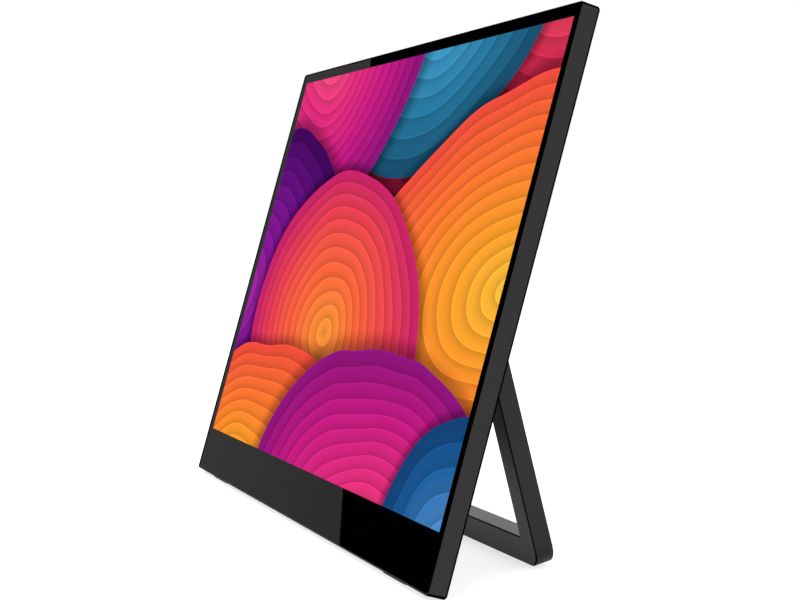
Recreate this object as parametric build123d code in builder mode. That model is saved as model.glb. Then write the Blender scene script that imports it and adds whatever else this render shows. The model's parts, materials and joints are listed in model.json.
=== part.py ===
from build123d import *
import os
from math import atan2, cos, degrees, radians, sin

# A 15.6 inch portable monitor: a thin slab with a flush glass front, leaning back on two rubber
# feet and a U-shaped stand. The stand folds round a raised housing on the back, which holds the
# boards, sockets, keys, speakers and the two friction hinges.
# Millimetres, +Z up, the screen faces -Y, and the origin is on the desk under the middle of the
# object. Places on the monitor are given as across (+X, seen from the front), height (up the
# slab from its bottom edge) and depth (behind the front face of the glass).

os.makedirs("parts", exist_ok=True)

# Screen and slab
active_width = 344.2
active_height = 193.6
side_margin = 4.35
top_margin = 5.55
bottom_margin = 22.65
slab_depth = 7.85
corner_radius = 1.8
back_edge_radius = 1.1
rim_width = 0.6
rim_chamfer = 0.2
side_wall = 1.1
back_wall = 1.2

# Display layers, from the glass backwards
glass_thickness = 0.8
glass_gap = 0.1
tape_thickness = 0.2
tape_inset = 0.2
cell_thickness = 1.1
film_thickness = 0.4
guide_thickness = 0.6
reflector_thickness = 0.2
tray_sheet = 0.3
layer_gap = 0.02
cell_border = 1.6
cell_ledge = 3.3
tray_inset = 0.1
layer_play = 0.2
frame_play = 0.2
frame_fit = 0.05
frame_bottom_rail = 3.8

# Edge lighting
led_count = 36
led_width = 3.0
led_height = 0.8
led_depth = 0.6
led_board = 0.3
led_end_space = 4.0
led_gap = 0.1

# Panel driver board and its films
panel_board_width = 300.0
panel_board_height = 9.0
panel_board_thickness = 0.8
panel_board_space = 1.2
driver_film_count = 6
driver_film_width = 26.0
driver_film_thickness = 0.08
driver_chip_height = 1.0
driver_chip_length = 14.0
film_lap = 0.9
driver_film_drop = 1.9
driver_film_bend = 0.32
driver_film_overhang = 0.16
driver_film_landing = 2.5

# Foam behind the display
foam_height = 10.0
foam_width = 300.0
foam_count = 3
foam_pitch = 41.5
foam_top_inset = 12.0
side_foam_width = 70.0
side_foam_centre = 125.0
side_foam_rise = 42.0

# Stand
stand_width = 270.0
stand_reach = 101.95
stand_thickness = 7.85
stand_opening = 30.2
arm_width = 12.6
bar_height = 11.2
stand_corner_radius = 7.6
stand_inner_radius = 0.8
stand_edge_radius = 0.6
fold_gap = 0.5
hinge_height = 104.9
side_gap = 1.0
lower_gap = 0.9

# Rubber that meets the desk
foot_length = 25.5
foot_centre = 135.0
foot_front = 2.4
foot_back = 6.6
foot_proud = 0.9
foot_sink = 0.4
foot_cut = 0.45
foot_end_radius = 0.8
strip_width = 2.8
strip_front = 3.0
strip_proud = 0.6
strip_sink = 0.8
strip_cut = 0.3
strip_end_space = 4.0

# Electronics housing
housing_top_margin = 7.2
housing_wall = 1.5
housing_floor = 1.5
housing_corner_radius = 2.0
housing_edge_radius = 0.6
scoop_width = 30.0
scoop_depth = 7.0
scoop_radius = 3.0
cable_slot_width = 30.0
cable_slot_height = 16.0
cable_slot_rise = 15.6
cable_slot_radius = 4.0
vent_count = 15
vent_pitch = 6.0
vent_width = 1.6
vent_length = 7.0
vent_drop = 14.0
column_radius = 3.2
column_wall_gap = 4.6
lower_column_rise = 6.1
lower_column_across = 36.0
upper_column_drop = 7.7
upper_column_across = 92.0
boss_radius = 2.2
hinge_boss_length = 2.0
cover_boss_height = 2.0

# Screws
screw_radius = 1.0
screw_fit = 0.02
screw_play = 0.1
head_radius = 1.9
head_play = 0.2
head_height = 1.0
head_sink = 0.15
head_edge_radius = 0.3
drive_radius = 0.8
drive_depth = 0.5
cover_screw_end_gap = 0.1
board_screw_length = 4.0
hinge_screw_length = 2.6

# Hinges
shaft_radius = 1.5
spigot_radius = 2.0
collar_length = 1.2
barrel_radius = 2.6
bearing_clearance = 0.05
barrel_length = 12.3
leaf_thickness = 1.0
leaf_drop = 18.9
web_thickness = 1.4
hinge_screw_drops = (8.4, 15.4)
washer_count = 4
washer_thickness = 0.5
washer_radius = 2.4
small_washer_radius = 2.2
nut_flat_radius = 2.3
nut_length = 2.4
shaft_stub = 0.6
spigot_depth = 10.0
spigot_flat = 0.4
spigot_end_gap = 0.3
hinge_slot_play = 0.2
pocket_floor = 0.8
pocket_play = 0.4
pivot_screw_inset = 5.0

# Boards
board_thickness = 1.0
board_standoff = 1.2
board_edge_gap = 0.5
main_board_width = 140.0
main_board_rise = 15.6
board_leaf_gap = 4.0
board_post_radius = 2.6
post_edge_gap = 4.5
socket_side_gap = 22.0
middle_post_rise = 25.5
key_board_width = 15.0
key_board_rise = 18.6

# Sockets, all on the left wall. Rises are from the main board's lower edge.
socket_recess = 0.3
socket_play = 0.15
usb_rises = (45.0, 32.0)
usb_width = 8.94
usb_thickness = 3.26
usb_mouth_width = 8.34
usb_mouth_height = 2.56
usb_length = 7.4
usb_back = 1.2
tongue_width = 6.69
tongue_thickness = 0.7
tongue_setback = 0.9
video_rise = 17.5
video_width = 11.4
video_thickness = 3.2
video_mouth_width = 10.6
video_mouth_height = 2.5
video_bevel = 1.0
video_length = 7.6
video_tongue_width = 8.2
jack_rise = 5.5
jack_width = 6.4
jack_thickness = 4.8
jack_length = 12.0
jack_bore_radius = 1.8
jack_bore_depth = 10.5
jack_collar_radius = 2.4

# Chips and shield, placed from the main board's lower left corner
shield_spot = (68.0, 28.0)
shield_width = 38.0
shield_height = 30.0
shield_depth = 2.0
shield_sheet = 0.2
processor_side = 14.0
processor_thickness = 1.1
chip_spots = (
    (35.0, 36.0, 8.0, 6.0), (35.0, 14.0, 6.0, 6.0), (100.0, 40.0, 10.0, 8.0),
    (100.0, 20.0, 6.0, 10.0), (70.0, 5.5, 12.0, 5.0), (120.0, 30.0, 5.0, 5.0),
)
chip_thickness = 1.0

# Keys, all on the right wall. Rises are from the key board's lower edge.
key_setback = 3.8
key_thickness = 2.8
key_play = 0.12
key_proud = 0.4
key_edge_radius = 0.25
key_travel = 0.35
key_gap = 0.05
button_length = 9.0
button_rises = {"power_button": 40.5, "back_button": 28.5}
flange_thickness = 0.9
flange_overlap = 0.8
flange_gap = 0.1
stem_radius = 0.8
stem_length = 1.2
rocker_stem_length = 0.4
rocker_rise = 10.5
rocker_length = 20.0
rocker_angle = 1.8
rocker_play = 0.25
rocker_flange_gap = 0.5
rocker_post_offset = 7.0
rocker_lug_width = 2.4
rocker_lug_length = 2.4
pin_radius = 0.6
pin_clearance = 0.05
pin_seat = 0.5
pin_setback = 3.0
switch_width = 4.5
switch_length = 3.4
switch_height = 3.0
nub_radius = 0.7
nub_length = 0.8

# Speakers
speaker_width = 28.0
speaker_height = 10.4
speaker_depth = 3.6
speaker_column_gap = 2.1
speaker_rise = 7.6
speaker_cone_inset = 1.6
speaker_cone_depth = 0.8
dome_height = 0.5
dome_end_inset = 4.8
dome_side_inset = 3.2
dome_corner = 0.8
mesh_thickness = 0.2
gasket_thickness = 0.4
gasket_width = 1.0
sound_slot_count = 7
sound_slot_pitch = 3.2
sound_slot_width = 1.5
sound_slot_length = 7.0

# Cables inside
display_cable_width = 24.0
display_cable_thickness = 0.15
display_cable_bend = 0.9
display_cable_landing = 1.7
display_cable_slope = 10.0
display_cable_margin = 2.5
display_cable_tail = 10.0
key_cable_width = 6.0
key_cable_rise = 25.0
key_cable_lap = 5.0
key_cable_landing = 2.5
lead_radius = 0.5
lead_bend = 4.0
lead_side_reach = 6.5
right_lead_landing = 8.0
lead_reach = 4.0
lead_rise = 4.0

# Bumpers where the folded stand closes
bumper_radius = 3.0
bumper_offset = 100.0
bumper_sink = 0.5
bumper_proud = 0.4

# Overall sizes that follow
slab_width = active_width + 2 * side_margin
slab_height = bottom_margin + active_height + top_margin
half_slab = slab_width / 2
hinge_depth = slab_depth + fold_gap + stand_thickness / 2
housing_depth = slab_depth + fold_gap + stand_thickness
board_depth = slab_depth + board_standoff
key_depth = slab_depth + key_setback
half_stand = stand_width / 2
half_housing = half_stand - arm_width - side_gap
housing_bottom = hinge_height - stand_reach + bar_height + lower_gap
housing_top = hinge_height + housing_top_margin
inner_floor = housing_depth - housing_floor
half_inner = half_housing - housing_wall
column_across = half_inner - column_wall_gap
lower_columns = housing_bottom + lower_column_rise
upper_columns = housing_top - upper_column_drop
cable_slot_bottom = housing_bottom + cable_slot_rise
rocker_pivot = half_inner - pin_setback
main_board_left = board_edge_gap - half_inner
main_board_right = main_board_left + main_board_width
main_board_bottom = housing_bottom + main_board_rise
main_board_top = hinge_height - leaf_drop - board_leaf_gap
key_board_right = rocker_pivot + pin_radius
key_board_left = key_board_right - key_board_width
key_board_bottom = housing_bottom + key_board_rise
key_board_top = main_board_top
usb_heights = [main_board_bottom + rise for rise in usb_rises]
video_height = main_board_bottom + video_rise
jack_height = main_board_bottom + jack_rise
button_heights = {name: key_board_bottom + rise for name, rise in button_rises.items()}
rocker_height = key_board_bottom + rocker_rise
speaker_outer = column_across - column_radius - speaker_column_gap
speaker_level = housing_bottom + speaker_rise
opening = radians(stand_opening)

# The slab's lean follows from its own feet and the strip on the stand's bar, both on the desk.
foot_contact = (foot_cut - foot_proud, foot_back)
strip_contact_reach = stand_reach + strip_proud - strip_cut
strip_contact = (
    hinge_height - strip_contact_reach * cos(opening) - strip_front * sin(opening),
    hinge_depth + strip_contact_reach * sin(opening) - strip_front * cos(opening),
)
lean = atan2(strip_contact[0] - foot_contact[0], strip_contact[1] - foot_contact[1])
bar_back_height = hinge_height - stand_reach * cos(opening) + stand_thickness / 2 * sin(opening)
bar_back_depth = hinge_depth + stand_reach * sin(opening) + stand_thickness / 2 * cos(opening)
depth_of_stand = bar_back_height * sin(lean) + bar_back_depth * cos(lean)
depth_of_slab = slab_height * sin(lean) + slab_depth * cos(lean)
footprint = max(depth_of_stand, depth_of_slab)


def leaning_plane(origin, angle):
    """A plane that faces -Y and leans back by an angle in radians."""
    return Plane(origin=origin, x_dir=(1, 0, 0), z_dir=(0, -cos(angle), sin(angle)))


slab_lift = foot_contact[1] * sin(lean) - foot_contact[0] * cos(lean)
slab_plane = leaning_plane((0, -footprint / 2, slab_lift), lean)
out_of_screen = Axis(slab_plane.origin, slab_plane.z_dir)


def face_at(depth):
    """The plane parallel to the screen at a depth behind the front of the glass."""
    return slab_plane.offset(-depth)


def side_at(across):
    """The plane across the slab at +X = across. Its own x runs up the slab, its y out of it."""
    origin = slab_plane.from_local_coords((across, 0, 0))
    return Plane(origin=origin, x_dir=slab_plane.y_dir, z_dir=(1, 0, 0))


hinge_point = slab_plane.from_local_coords((0, hinge_height, -hinge_depth))
stand_plane = leaning_plane(hinge_point, lean - opening)


def block(left, right, bottom, top, front, back, corner=0, mode=Mode.ADD):
    """A flat block on the part in hand, between two depths."""
    with BuildSketch(face_at(back)) as outline:
        with Locations(((left + right) / 2, (bottom + top) / 2)):
            if corner > 0:
                RectangleRounded(right - left, top - bottom, corner)
            else:
                Rectangle(right - left, top - bottom)
    extrude(outline.sketch, amount=back - front, mode=mode)


def post(spots, radius, front, back, mode=Mode.ADD):
    """Round posts or holes, square to the screen, at a list of (across, height) spots."""
    with BuildSketch(face_at(back)) as outline:
        with Locations(*spots):
            Circle(radius)
    extrude(outline.sketch, amount=back - front, mode=mode)


def rod(left, right, height, depth, radius, mode=Mode.ADD):
    """A round bar or hole along X."""
    with BuildSketch(side_at(left)) as outline:
        with Locations((height, -depth)):
            Circle(radius)
    extrude(outline.sketch, amount=right - left, mode=mode)


def side_slot(left, right, height, depth, length, thickness, mode=Mode.ADD):
    """A round-ended bar or hole along X, such as a key or a socket."""
    with BuildSketch(side_at(left)) as outline:
        with Locations((height, -depth)):
            SlotOverall(length, thickness)
    extrude(outline.sketch, amount=right - left, mode=mode)


def ring(outer, inner, front, back):
    """A rectangular ring on the part in hand. Each outline is left, right, bottom, top, corner."""
    block(*outer[:4], front, back, corner=outer[4])
    block(*inner[:4], front, back, corner=inner[4], mode=Mode.SUBTRACT)


def folded_sheet(points, radii, left, width, thickness):
    """A thin sheet that follows a line in height and depth, and is as wide as given along X."""
    with BuildSketch(side_at(left)) as outline:
        with BuildLine() as line:
            FilletPolyline(*[(height, -depth) for height, depth in points], radius=radii)
        trace(line.line, line_width=thickness)
    extrude(outline.sketch, amount=width)


def both_sides(spots):
    """The same spots on both sides of the middle."""
    return [(side * across, height) for across, height in spots for side in (-1, 1)]


def save(part, name):
    """Labels a finished piece and writes it."""
    part.label = name
    export_step(part, f"parts/{name}.step")


def screws(spots, head_front, length, towards_front):
    """Pan-head screws with a six-sided drive recess, at (across, height) spots."""
    head_back = head_front + head_height
    recess_back = head_front + drive_depth
    shank = (head_back, head_back + length)
    if towards_front:
        recess_back = head_back
        shank = (head_front - length, head_front)
    post(spots, head_radius, head_front, head_back)
    post(spots, screw_radius, *shank)
    with BuildSketch(face_at(recess_back)) as outline:
        with Locations(*spots):
            RegularPolygon(drive_radius, 6)
    extrude(outline.sketch, amount=drive_depth, mode=Mode.SUBTRACT)


# Rear cover: the slab's pressed aluminium back and sides, with a flush rim round the glass
glass_bed = glass_thickness + tape_thickness
inner_back = slab_depth - back_wall
cover_boss_back = slab_depth + cover_boss_height
cover_spots = both_sides([(column_across, lower_columns), (lower_column_across, lower_columns),
                          (upper_column_across, upper_columns)])
hinge_side_left = half_inner - flange_gap - collar_length - bearing_clearance - barrel_length
hinge_screw_across = hinge_side_left + barrel_length / 2
hinge_screw_heights = [hinge_height - drop for drop in hinge_screw_drops]
hinge_spots = both_sides([(hinge_screw_across, height) for height in hinge_screw_heights])
panel_board_bottom = side_wall + frame_bottom_rail + panel_board_space
panel_board_back = inner_back - panel_board_thickness
bumper_level = hinge_height - stand_reach + bar_height / 2
bumper_spots = both_sides([(bumper_offset, bumper_level)])

with BuildPart() as rear_cover:
    block(-half_slab, half_slab, 0, slab_height, 0, slab_depth, corner=corner_radius)
    fillet(rear_cover.faces().sort_by(out_of_screen)[0].edges(), back_edge_radius)
    chamfer(rear_cover.faces().sort_by(out_of_screen)[-1].edges(), rim_chamfer)
    block(-half_slab + rim_width, half_slab - rim_width, rim_width, slab_height - rim_width,
          0, glass_bed, corner=corner_radius - rim_width, mode=Mode.SUBTRACT)
    block(-half_slab + side_wall, half_slab - side_wall, side_wall, slab_height - side_wall,
          glass_bed, inner_back, corner=corner_radius - side_wall, mode=Mode.SUBTRACT)
    post(hinge_spots, boss_radius, inner_back - hinge_boss_length, inner_back)
    post(hinge_spots, screw_radius + screw_fit, inner_back - hinge_boss_length, slab_depth,
         mode=Mode.SUBTRACT)
    post(cover_spots, boss_radius, slab_depth, cover_boss_back)
    post(cover_spots, screw_radius + screw_fit, inner_back, cover_boss_back, mode=Mode.SUBTRACT)
    block(-cable_slot_width / 2, cable_slot_width / 2, cable_slot_bottom,
          cable_slot_bottom + cable_slot_height, inner_back, slab_depth,
          corner=cable_slot_radius, mode=Mode.SUBTRACT)
    post(bumper_spots, bumper_radius, slab_depth - bumper_sink, slab_depth, mode=Mode.SUBTRACT)
    for side in (-1, 1):
        block(side * foot_centre - foot_length / 2, side * foot_centre + foot_length / 2,
              0, foot_sink, foot_front, foot_back, mode=Mode.SUBTRACT)
save(rear_cover.part, "rear_cover")

# Cover glass, black behind its border, flush with the rim
glass_edge = rim_width + glass_gap
glass_outline = (-half_slab + glass_edge, half_slab - glass_edge, glass_edge,
                 slab_height - glass_edge, corner_radius - glass_edge)
with BuildPart() as cover_glass:
    block(*glass_outline[:4], 0, glass_thickness, corner=glass_outline[4])
save(cover_glass.part, "cover_glass")

# The display's layers share these outlines
cell_half = active_width / 2 + cell_border
cell_top = bottom_margin + active_height + cell_border
cell_bottom = bottom_margin - cell_border - cell_ledge
cell_front = glass_bed + layer_gap
cell_back = cell_front + cell_thickness
tray_half = cell_half - tray_inset
tray_top = cell_top - tray_inset
tray_bottom = cell_bottom + film_lap + tray_inset
tray_front = cell_back + layer_gap
film_back = tray_front + film_thickness
guide_front = film_back + layer_gap
guide_back = guide_front + guide_thickness
reflector_front = guide_back + layer_gap
reflector_back = reflector_front + reflector_thickness
tray_floor = reflector_back + layer_gap
tray_back = tray_floor + tray_sheet
layer_half = tray_half - tray_sheet - layer_play
layer_top = tray_top - tray_sheet - layer_play
layer_bottom = tray_bottom + tray_sheet + layer_play
led_top = tray_bottom + tray_sheet + led_gap + led_board + led_height
guide_bottom = led_top + led_gap

# Middle frame: a moulded ring that the glass is taped to, round the display
frame_half = half_slab - side_wall - frame_fit
frame_bottom = side_wall + frame_fit
frame_top = slab_height - side_wall - frame_fit
frame_inner_half = cell_half + frame_play
frame_inner_bottom = side_wall + frame_bottom_rail
frame_inner_top = cell_top + frame_play
with BuildPart() as middle_frame:
    ring((-frame_half, frame_half, frame_bottom, frame_top, corner_radius - side_wall),
         (-frame_inner_half, frame_inner_half, frame_inner_bottom, frame_inner_top, 0),
         glass_bed, inner_back - layer_gap)
save(middle_frame.part, "middle_frame")

# Glass tape: the adhesive ring between the glass, the cover's ledge and the middle frame
tape_edge = glass_edge + tape_inset
with BuildPart() as glass_tape:
    ring((-half_slab + tape_edge, half_slab - tape_edge, tape_edge, slab_height - tape_edge,
          corner_radius - tape_edge),
         (-frame_inner_half - tape_inset, frame_inner_half + tape_inset,
          frame_inner_bottom - tape_inset, frame_inner_top + tape_inset, 0),
         glass_thickness, glass_bed)
save(glass_tape.part, "glass_tape")

# Display layers
with BuildPart() as lcd_cell:
    block(-cell_half, cell_half, cell_bottom, cell_top, cell_front, cell_back)
save(lcd_cell.part, "lcd_cell")

with BuildPart() as optical_films:
    block(-layer_half, layer_half, guide_bottom, layer_top, tray_front, film_back)
save(optical_films.part, "optical_films")

with BuildPart() as light_guide:
    block(-layer_half, layer_half, guide_bottom, layer_top, guide_front, guide_back)
save(light_guide.part, "light_guide")

with BuildPart() as reflector_sheet:
    block(-layer_half, layer_half, layer_bottom, layer_top, reflector_front, reflector_back)
save(reflector_sheet.part, "reflector_sheet")

# Panel tray: thin folded aluminium, with walls that carry the cell
with BuildPart() as panel_tray:
    block(-tray_half, tray_half, tray_bottom, tray_top, tray_front, tray_back)
    block(-tray_half + tray_sheet, tray_half - tray_sheet, tray_bottom + tray_sheet,
          tray_top - tray_sheet, tray_front, tray_floor, mode=Mode.SUBTRACT)
save(panel_tray.part, "panel_tray")

# Light strip: a thin board with its row of diodes, along the guide's lower edge
led_board_bottom = tray_bottom + tray_sheet + led_gap
led_board_top = led_board_bottom + led_board
led_strip_half = layer_half - led_end_space
led_pitch = (2 * led_strip_half - led_width) / (led_count - 1)
led_centre = (guide_front + guide_back) / 2
with BuildPart() as led_strip:
    block(-led_strip_half, led_strip_half, led_board_bottom, led_board_top,
          led_centre - led_depth / 2, led_centre + led_depth / 2)
    for index in range(led_count):
        left = -led_strip_half + index * led_pitch
        block(left, left + led_width, led_board_top, led_top,
              led_centre - led_depth / 2, led_centre + led_depth / 2)
save(led_strip.part, "led_strip")

# Panel board, fixed flat on the rear cover below the display, with its driver chips
board_chip_front = panel_board_back - driver_chip_height
driver_pitch = panel_board_width / driver_film_count
driver_centres = [(index + 0.5) * driver_pitch - panel_board_width / 2
                  for index in range(driver_film_count)]
panel_board_top = panel_board_bottom + panel_board_height
with BuildPart() as panel_board:
    block(-panel_board_width / 2, panel_board_width / 2, panel_board_bottom, panel_board_top,
          panel_board_back, inner_back)
save(panel_board.part, "panel_board")

chip_centres = [(left + right) / 2 for left, right in zip(driver_centres, driver_centres[1:])]
chip_edge_gap = panel_board_height / 4
with BuildPart() as panel_board_chips:
    for centre in chip_centres[::2] + chip_centres[1::2]:
        block(centre - driver_chip_length / 2, centre + driver_chip_length / 2,
              panel_board_bottom + chip_edge_gap, panel_board_top - chip_edge_gap,
              board_chip_front, panel_board_back)
save(panel_board_chips.part, "panel_board_chips")

# Driver films bend from the cell's lower ledge back to the panel board
film_half = driver_film_thickness / 2
film_line = (
    (cell_bottom + film_lap, cell_back + film_half),
    (cell_bottom - driver_film_overhang, cell_back + film_half),
    (cell_bottom - driver_film_drop, panel_board_back - film_half),
    (panel_board_top - driver_film_landing, panel_board_back - film_half),
)
with BuildPart() as driver_films:
    for centre in driver_centres:
        folded_sheet(film_line, driver_film_bend, centre - driver_film_width / 2,
                     driver_film_width, driver_film_thickness)
save(driver_films.part, "driver_films")

# Foam pads hold the tray off the rear cover
foam_front = tray_back + layer_gap
foam_back = inner_back - layer_gap
with BuildPart() as support_foam:
    for index in range(foam_count):
        level = tray_top - foam_top_inset - index * foam_pitch
        block(-foam_width / 2, foam_width / 2, level - foam_height / 2, level + foam_height / 2,
              foam_front, foam_back)
    for side in (-1, 1):
        centre = side * side_foam_centre
        level = tray_bottom + side_foam_rise
        block(centre - side_foam_width / 2, centre + side_foam_width / 2,
              level - foam_height / 2, level + foam_height / 2, foam_front, foam_back)
save(support_foam.part, "support_foam")

# Electronics housing: a moulded tub on the slab's back, which the stand folds round
socket_depth = board_depth + board_thickness + usb_thickness / 2
video_depth = board_depth + board_thickness + video_thickness / 2
jack_depth = socket_depth
socket_post_across = main_board_left + socket_side_gap
main_board_posts = [
    (socket_post_across, main_board_top - post_edge_gap),
    (socket_post_across, main_board_bottom + middle_post_rise),
    (main_board_right - post_edge_gap, main_board_top - post_edge_gap),
    (main_board_right - post_edge_gap, main_board_bottom + post_edge_gap),
]
key_board_posts = [(key_board_left + post_edge_gap, key_board_bottom + post_edge_gap),
                   (key_board_left + post_edge_gap, key_board_top - post_edge_gap)]
post_spots = main_board_posts + key_board_posts
board_back = board_depth + board_thickness
mouth_wall = -half_housing
vent_centre = (0, housing_top - vent_drop)
pocket_reach = barrel_radius + pocket_play
slot_radius = spigot_radius + hinge_slot_play
nut_left = hinge_side_left - bearing_clearance - washer_count * washer_thickness - nut_length
shaft_left = nut_left - shaft_stub
speaker_inner = speaker_outer - speaker_width
speaker_centre = (speaker_outer + speaker_inner) / 2


def housing_outline(inset):
    """The housing's outline seen from the front, with the finger scoop, set in by a wall."""
    width = 2 * (half_housing - inset)
    height = housing_top - housing_bottom - 2 * inset
    middle = (housing_top + housing_bottom) / 2
    with BuildSketch() as outline:
        with Locations((0, middle)):
            RectangleRounded(width, height, housing_corner_radius)
        with Locations((0, housing_bottom)):
            RectangleRounded(scoop_width + 2 * inset, 2 * (scoop_depth + inset),
                             scoop_radius + inset, mode=Mode.SUBTRACT)
    return outline.sketch


with BuildPart() as electronics_housing:
    with BuildSketch(face_at(housing_depth)):
        add(housing_outline(0))
    extrude(amount=housing_depth - slab_depth)
    fillet(electronics_housing.faces().sort_by(out_of_screen)[0].edges(), housing_edge_radius)
    with BuildSketch(face_at(inner_floor)):
        add(housing_outline(housing_wall))
    extrude(amount=inner_floor - slab_depth, mode=Mode.SUBTRACT)
    # Columns for the screws from outside, and posts that carry the boards
    post(cover_spots, column_radius, cover_boss_back, inner_floor)
    post(cover_spots, screw_radius + screw_play, cover_boss_back, housing_depth,
         mode=Mode.SUBTRACT)
    post(cover_spots, head_radius + head_play, housing_depth - head_height - head_sink,
         housing_depth, mode=Mode.SUBTRACT)
    post(post_spots, board_post_radius, board_back, inner_floor)
    post(post_spots, screw_radius + screw_fit, board_back, inner_floor, mode=Mode.SUBTRACT)
    # Thinned floor and open slots that let the hinges drop in
    for side in (-1, 1):
        ends = sorted((side * (shaft_left - pocket_play), side * half_inner))
        block(*ends, hinge_height - pocket_reach, hinge_height + pocket_reach,
              inner_floor, housing_depth - pocket_floor, mode=Mode.SUBTRACT)
        ends = sorted((side * half_inner, side * half_housing))
        rod(*ends, hinge_height, hinge_depth, slot_radius, mode=Mode.SUBTRACT)
        block(*ends, hinge_height - slot_radius, hinge_height + slot_radius,
              slab_depth, hinge_depth, mode=Mode.SUBTRACT)
    # Mouths for the sockets, on the left
    for height in usb_heights:
        side_slot(mouth_wall, -half_inner, height, socket_depth, usb_width + 2 * socket_play,
                  usb_thickness + 2 * socket_play, mode=Mode.SUBTRACT)
    with BuildSketch(side_at(mouth_wall)):
        with Locations((video_height, -video_depth)):
            Rectangle(video_width + 2 * socket_play, video_thickness + 2 * socket_play)
    extrude(amount=housing_wall, mode=Mode.SUBTRACT)
    rod(mouth_wall, -half_inner, jack_height, jack_depth, jack_collar_radius + socket_play,
        mode=Mode.SUBTRACT)
    # Slots for the keys, on the right
    for height in button_heights.values():
        side_slot(half_inner, half_housing, height, key_depth, button_length + 2 * key_play,
                  key_thickness + 2 * key_play, mode=Mode.SUBTRACT)
    side_slot(half_inner, half_housing, rocker_height, key_depth, rocker_length + 2 * rocker_play,
              key_thickness + 2 * rocker_play, mode=Mode.SUBTRACT)
    post([(rocker_pivot, rocker_height)], pin_radius, inner_floor, inner_floor + pin_seat,
         mode=Mode.SUBTRACT)
    # Sound slots and vents through the back
    with BuildSketch(face_at(housing_depth)):
        for side in (-1, 1):
            with Locations((side * speaker_centre, speaker_level)):
                with GridLocations(sound_slot_pitch, 0, sound_slot_count, 1):
                    SlotOverall(sound_slot_length, sound_slot_width, rotation=90)
        with Locations(vent_centre):
            with GridLocations(vent_pitch, 0, vent_count, 1):
                SlotOverall(vent_length, vent_width, rotation=90)
    extrude(amount=housing_floor, mode=Mode.SUBTRACT)
save(electronics_housing.part, "electronics_housing")

cover_head_front = housing_depth - head_height - head_sink
with BuildPart() as cover_screws:
    length = cover_head_front - inner_back - cover_screw_end_gap
    screws(cover_spots, cover_head_front, length, True)
    rims = cover_screws.edges().group_by(out_of_screen)[0].filter_by(GeomType.CIRCLE)
    fillet(rims, head_edge_radius)
save(cover_screws.part, "cover_screws")

# Main board, notched for the jack
with BuildPart() as main_board:
    block(main_board_left, main_board_right, main_board_bottom, main_board_top,
          board_depth, board_back)
    block(-half_inner, -half_housing + socket_recess + jack_length + socket_play,
          jack_height - jack_width / 2 - socket_play, jack_height + jack_width / 2 + socket_play,
          board_depth, board_back, mode=Mode.SUBTRACT)
    post(main_board_posts, screw_radius + screw_play, board_depth, board_back,
         mode=Mode.SUBTRACT)
save(main_board.part, "main_board")

with BuildPart() as key_board:
    block(key_board_left, key_board_right, key_board_bottom, key_board_top,
          board_depth, board_back)
    post(key_board_posts, screw_radius + screw_play, board_depth, board_back,
         mode=Mode.SUBTRACT)
save(key_board.part, "key_board")

with BuildPart() as board_screws:
    screws(post_spots, board_depth - head_height, board_screw_length, False)
save(board_screws.part, "board_screws")

# Processor, its pad, its shield and the other chips, on the main board's back
shield_centre = (main_board_left + shield_spot[0], main_board_bottom + shield_spot[1])
shield_back = board_back + shield_depth
pad_front = board_back + processor_thickness
with BuildPart() as processor:
    block(shield_centre[0] - processor_side / 2, shield_centre[0] + processor_side / 2,
          shield_centre[1] - processor_side / 2, shield_centre[1] + processor_side / 2,
          board_back, pad_front)
save(processor.part, "processor")

with BuildPart() as heat_pad:
    block(shield_centre[0] - processor_side / 2, shield_centre[0] + processor_side / 2,
          shield_centre[1] - processor_side / 2, shield_centre[1] + processor_side / 2,
          pad_front, shield_back - shield_sheet)
save(heat_pad.part, "heat_pad")

with BuildPart() as shield_can:
    left = shield_centre[0] - shield_width / 2
    bottom = shield_centre[1] - shield_height / 2
    block(left, left + shield_width, bottom, bottom + shield_height, board_back, shield_back)
    block(left + shield_sheet, left + shield_width - shield_sheet, bottom + shield_sheet,
          bottom + shield_height - shield_sheet, board_back, shield_back - shield_sheet,
          mode=Mode.SUBTRACT)
save(shield_can.part, "shield_can")

with BuildPart() as board_chips:
    for across, rise, width, tall in chip_spots:
        left = main_board_left + across - width / 2
        bottom = main_board_bottom + rise - tall / 2
        block(left, left + width, bottom, bottom + tall, board_back, board_back + chip_thickness)
save(board_chips.part, "board_chips")

# Two reversible power and data sockets
socket_mouth = -half_housing + socket_recess
for number, height in enumerate(usb_heights, start=1):
    with BuildPart() as usb_socket:
        side_slot(socket_mouth, socket_mouth + usb_length, height, socket_depth,
                  usb_width, usb_thickness)
        side_slot(socket_mouth, socket_mouth + usb_length - usb_back, height, socket_depth,
                  usb_mouth_width, usb_mouth_height, mode=Mode.SUBTRACT)
        block(socket_mouth + tongue_setback, socket_mouth + usb_length - usb_back,
              height - tongue_width / 2, height + tongue_width / 2,
              socket_depth - tongue_thickness / 2, socket_depth + tongue_thickness / 2)
    save(usb_socket.part, f"usb_socket_{number}")


def video_outline(width, thickness):
    """The small video socket's section: a bar with its two rear corners bevelled."""
    half, low = width / 2, -thickness / 2
    with BuildSketch() as outline:
        with BuildLine():
            Polyline((-half, -low), (half, -low), (half, low + video_bevel),
                     (half - video_bevel, low), (video_bevel - half, low),
                     (-half, low + video_bevel), close=True)
        make_face()
    return outline.sketch


with BuildPart() as video_socket:
    with BuildSketch(side_at(socket_mouth)):
        with Locations((video_height, -video_depth)):
            add(video_outline(video_width, video_thickness))
    extrude(amount=video_length)
    with BuildSketch(side_at(socket_mouth)):
        with Locations((video_height, -video_depth)):
            add(video_outline(video_mouth_width, video_mouth_height))
    extrude(amount=video_length - usb_back, mode=Mode.SUBTRACT)
    block(socket_mouth + tongue_setback, socket_mouth + video_length - usb_back,
          video_height - video_tongue_width / 2, video_height + video_tongue_width / 2,
          video_depth - tongue_thickness / 2, video_depth + tongue_thickness / 2)
save(video_socket.part, "video_socket")

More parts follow.
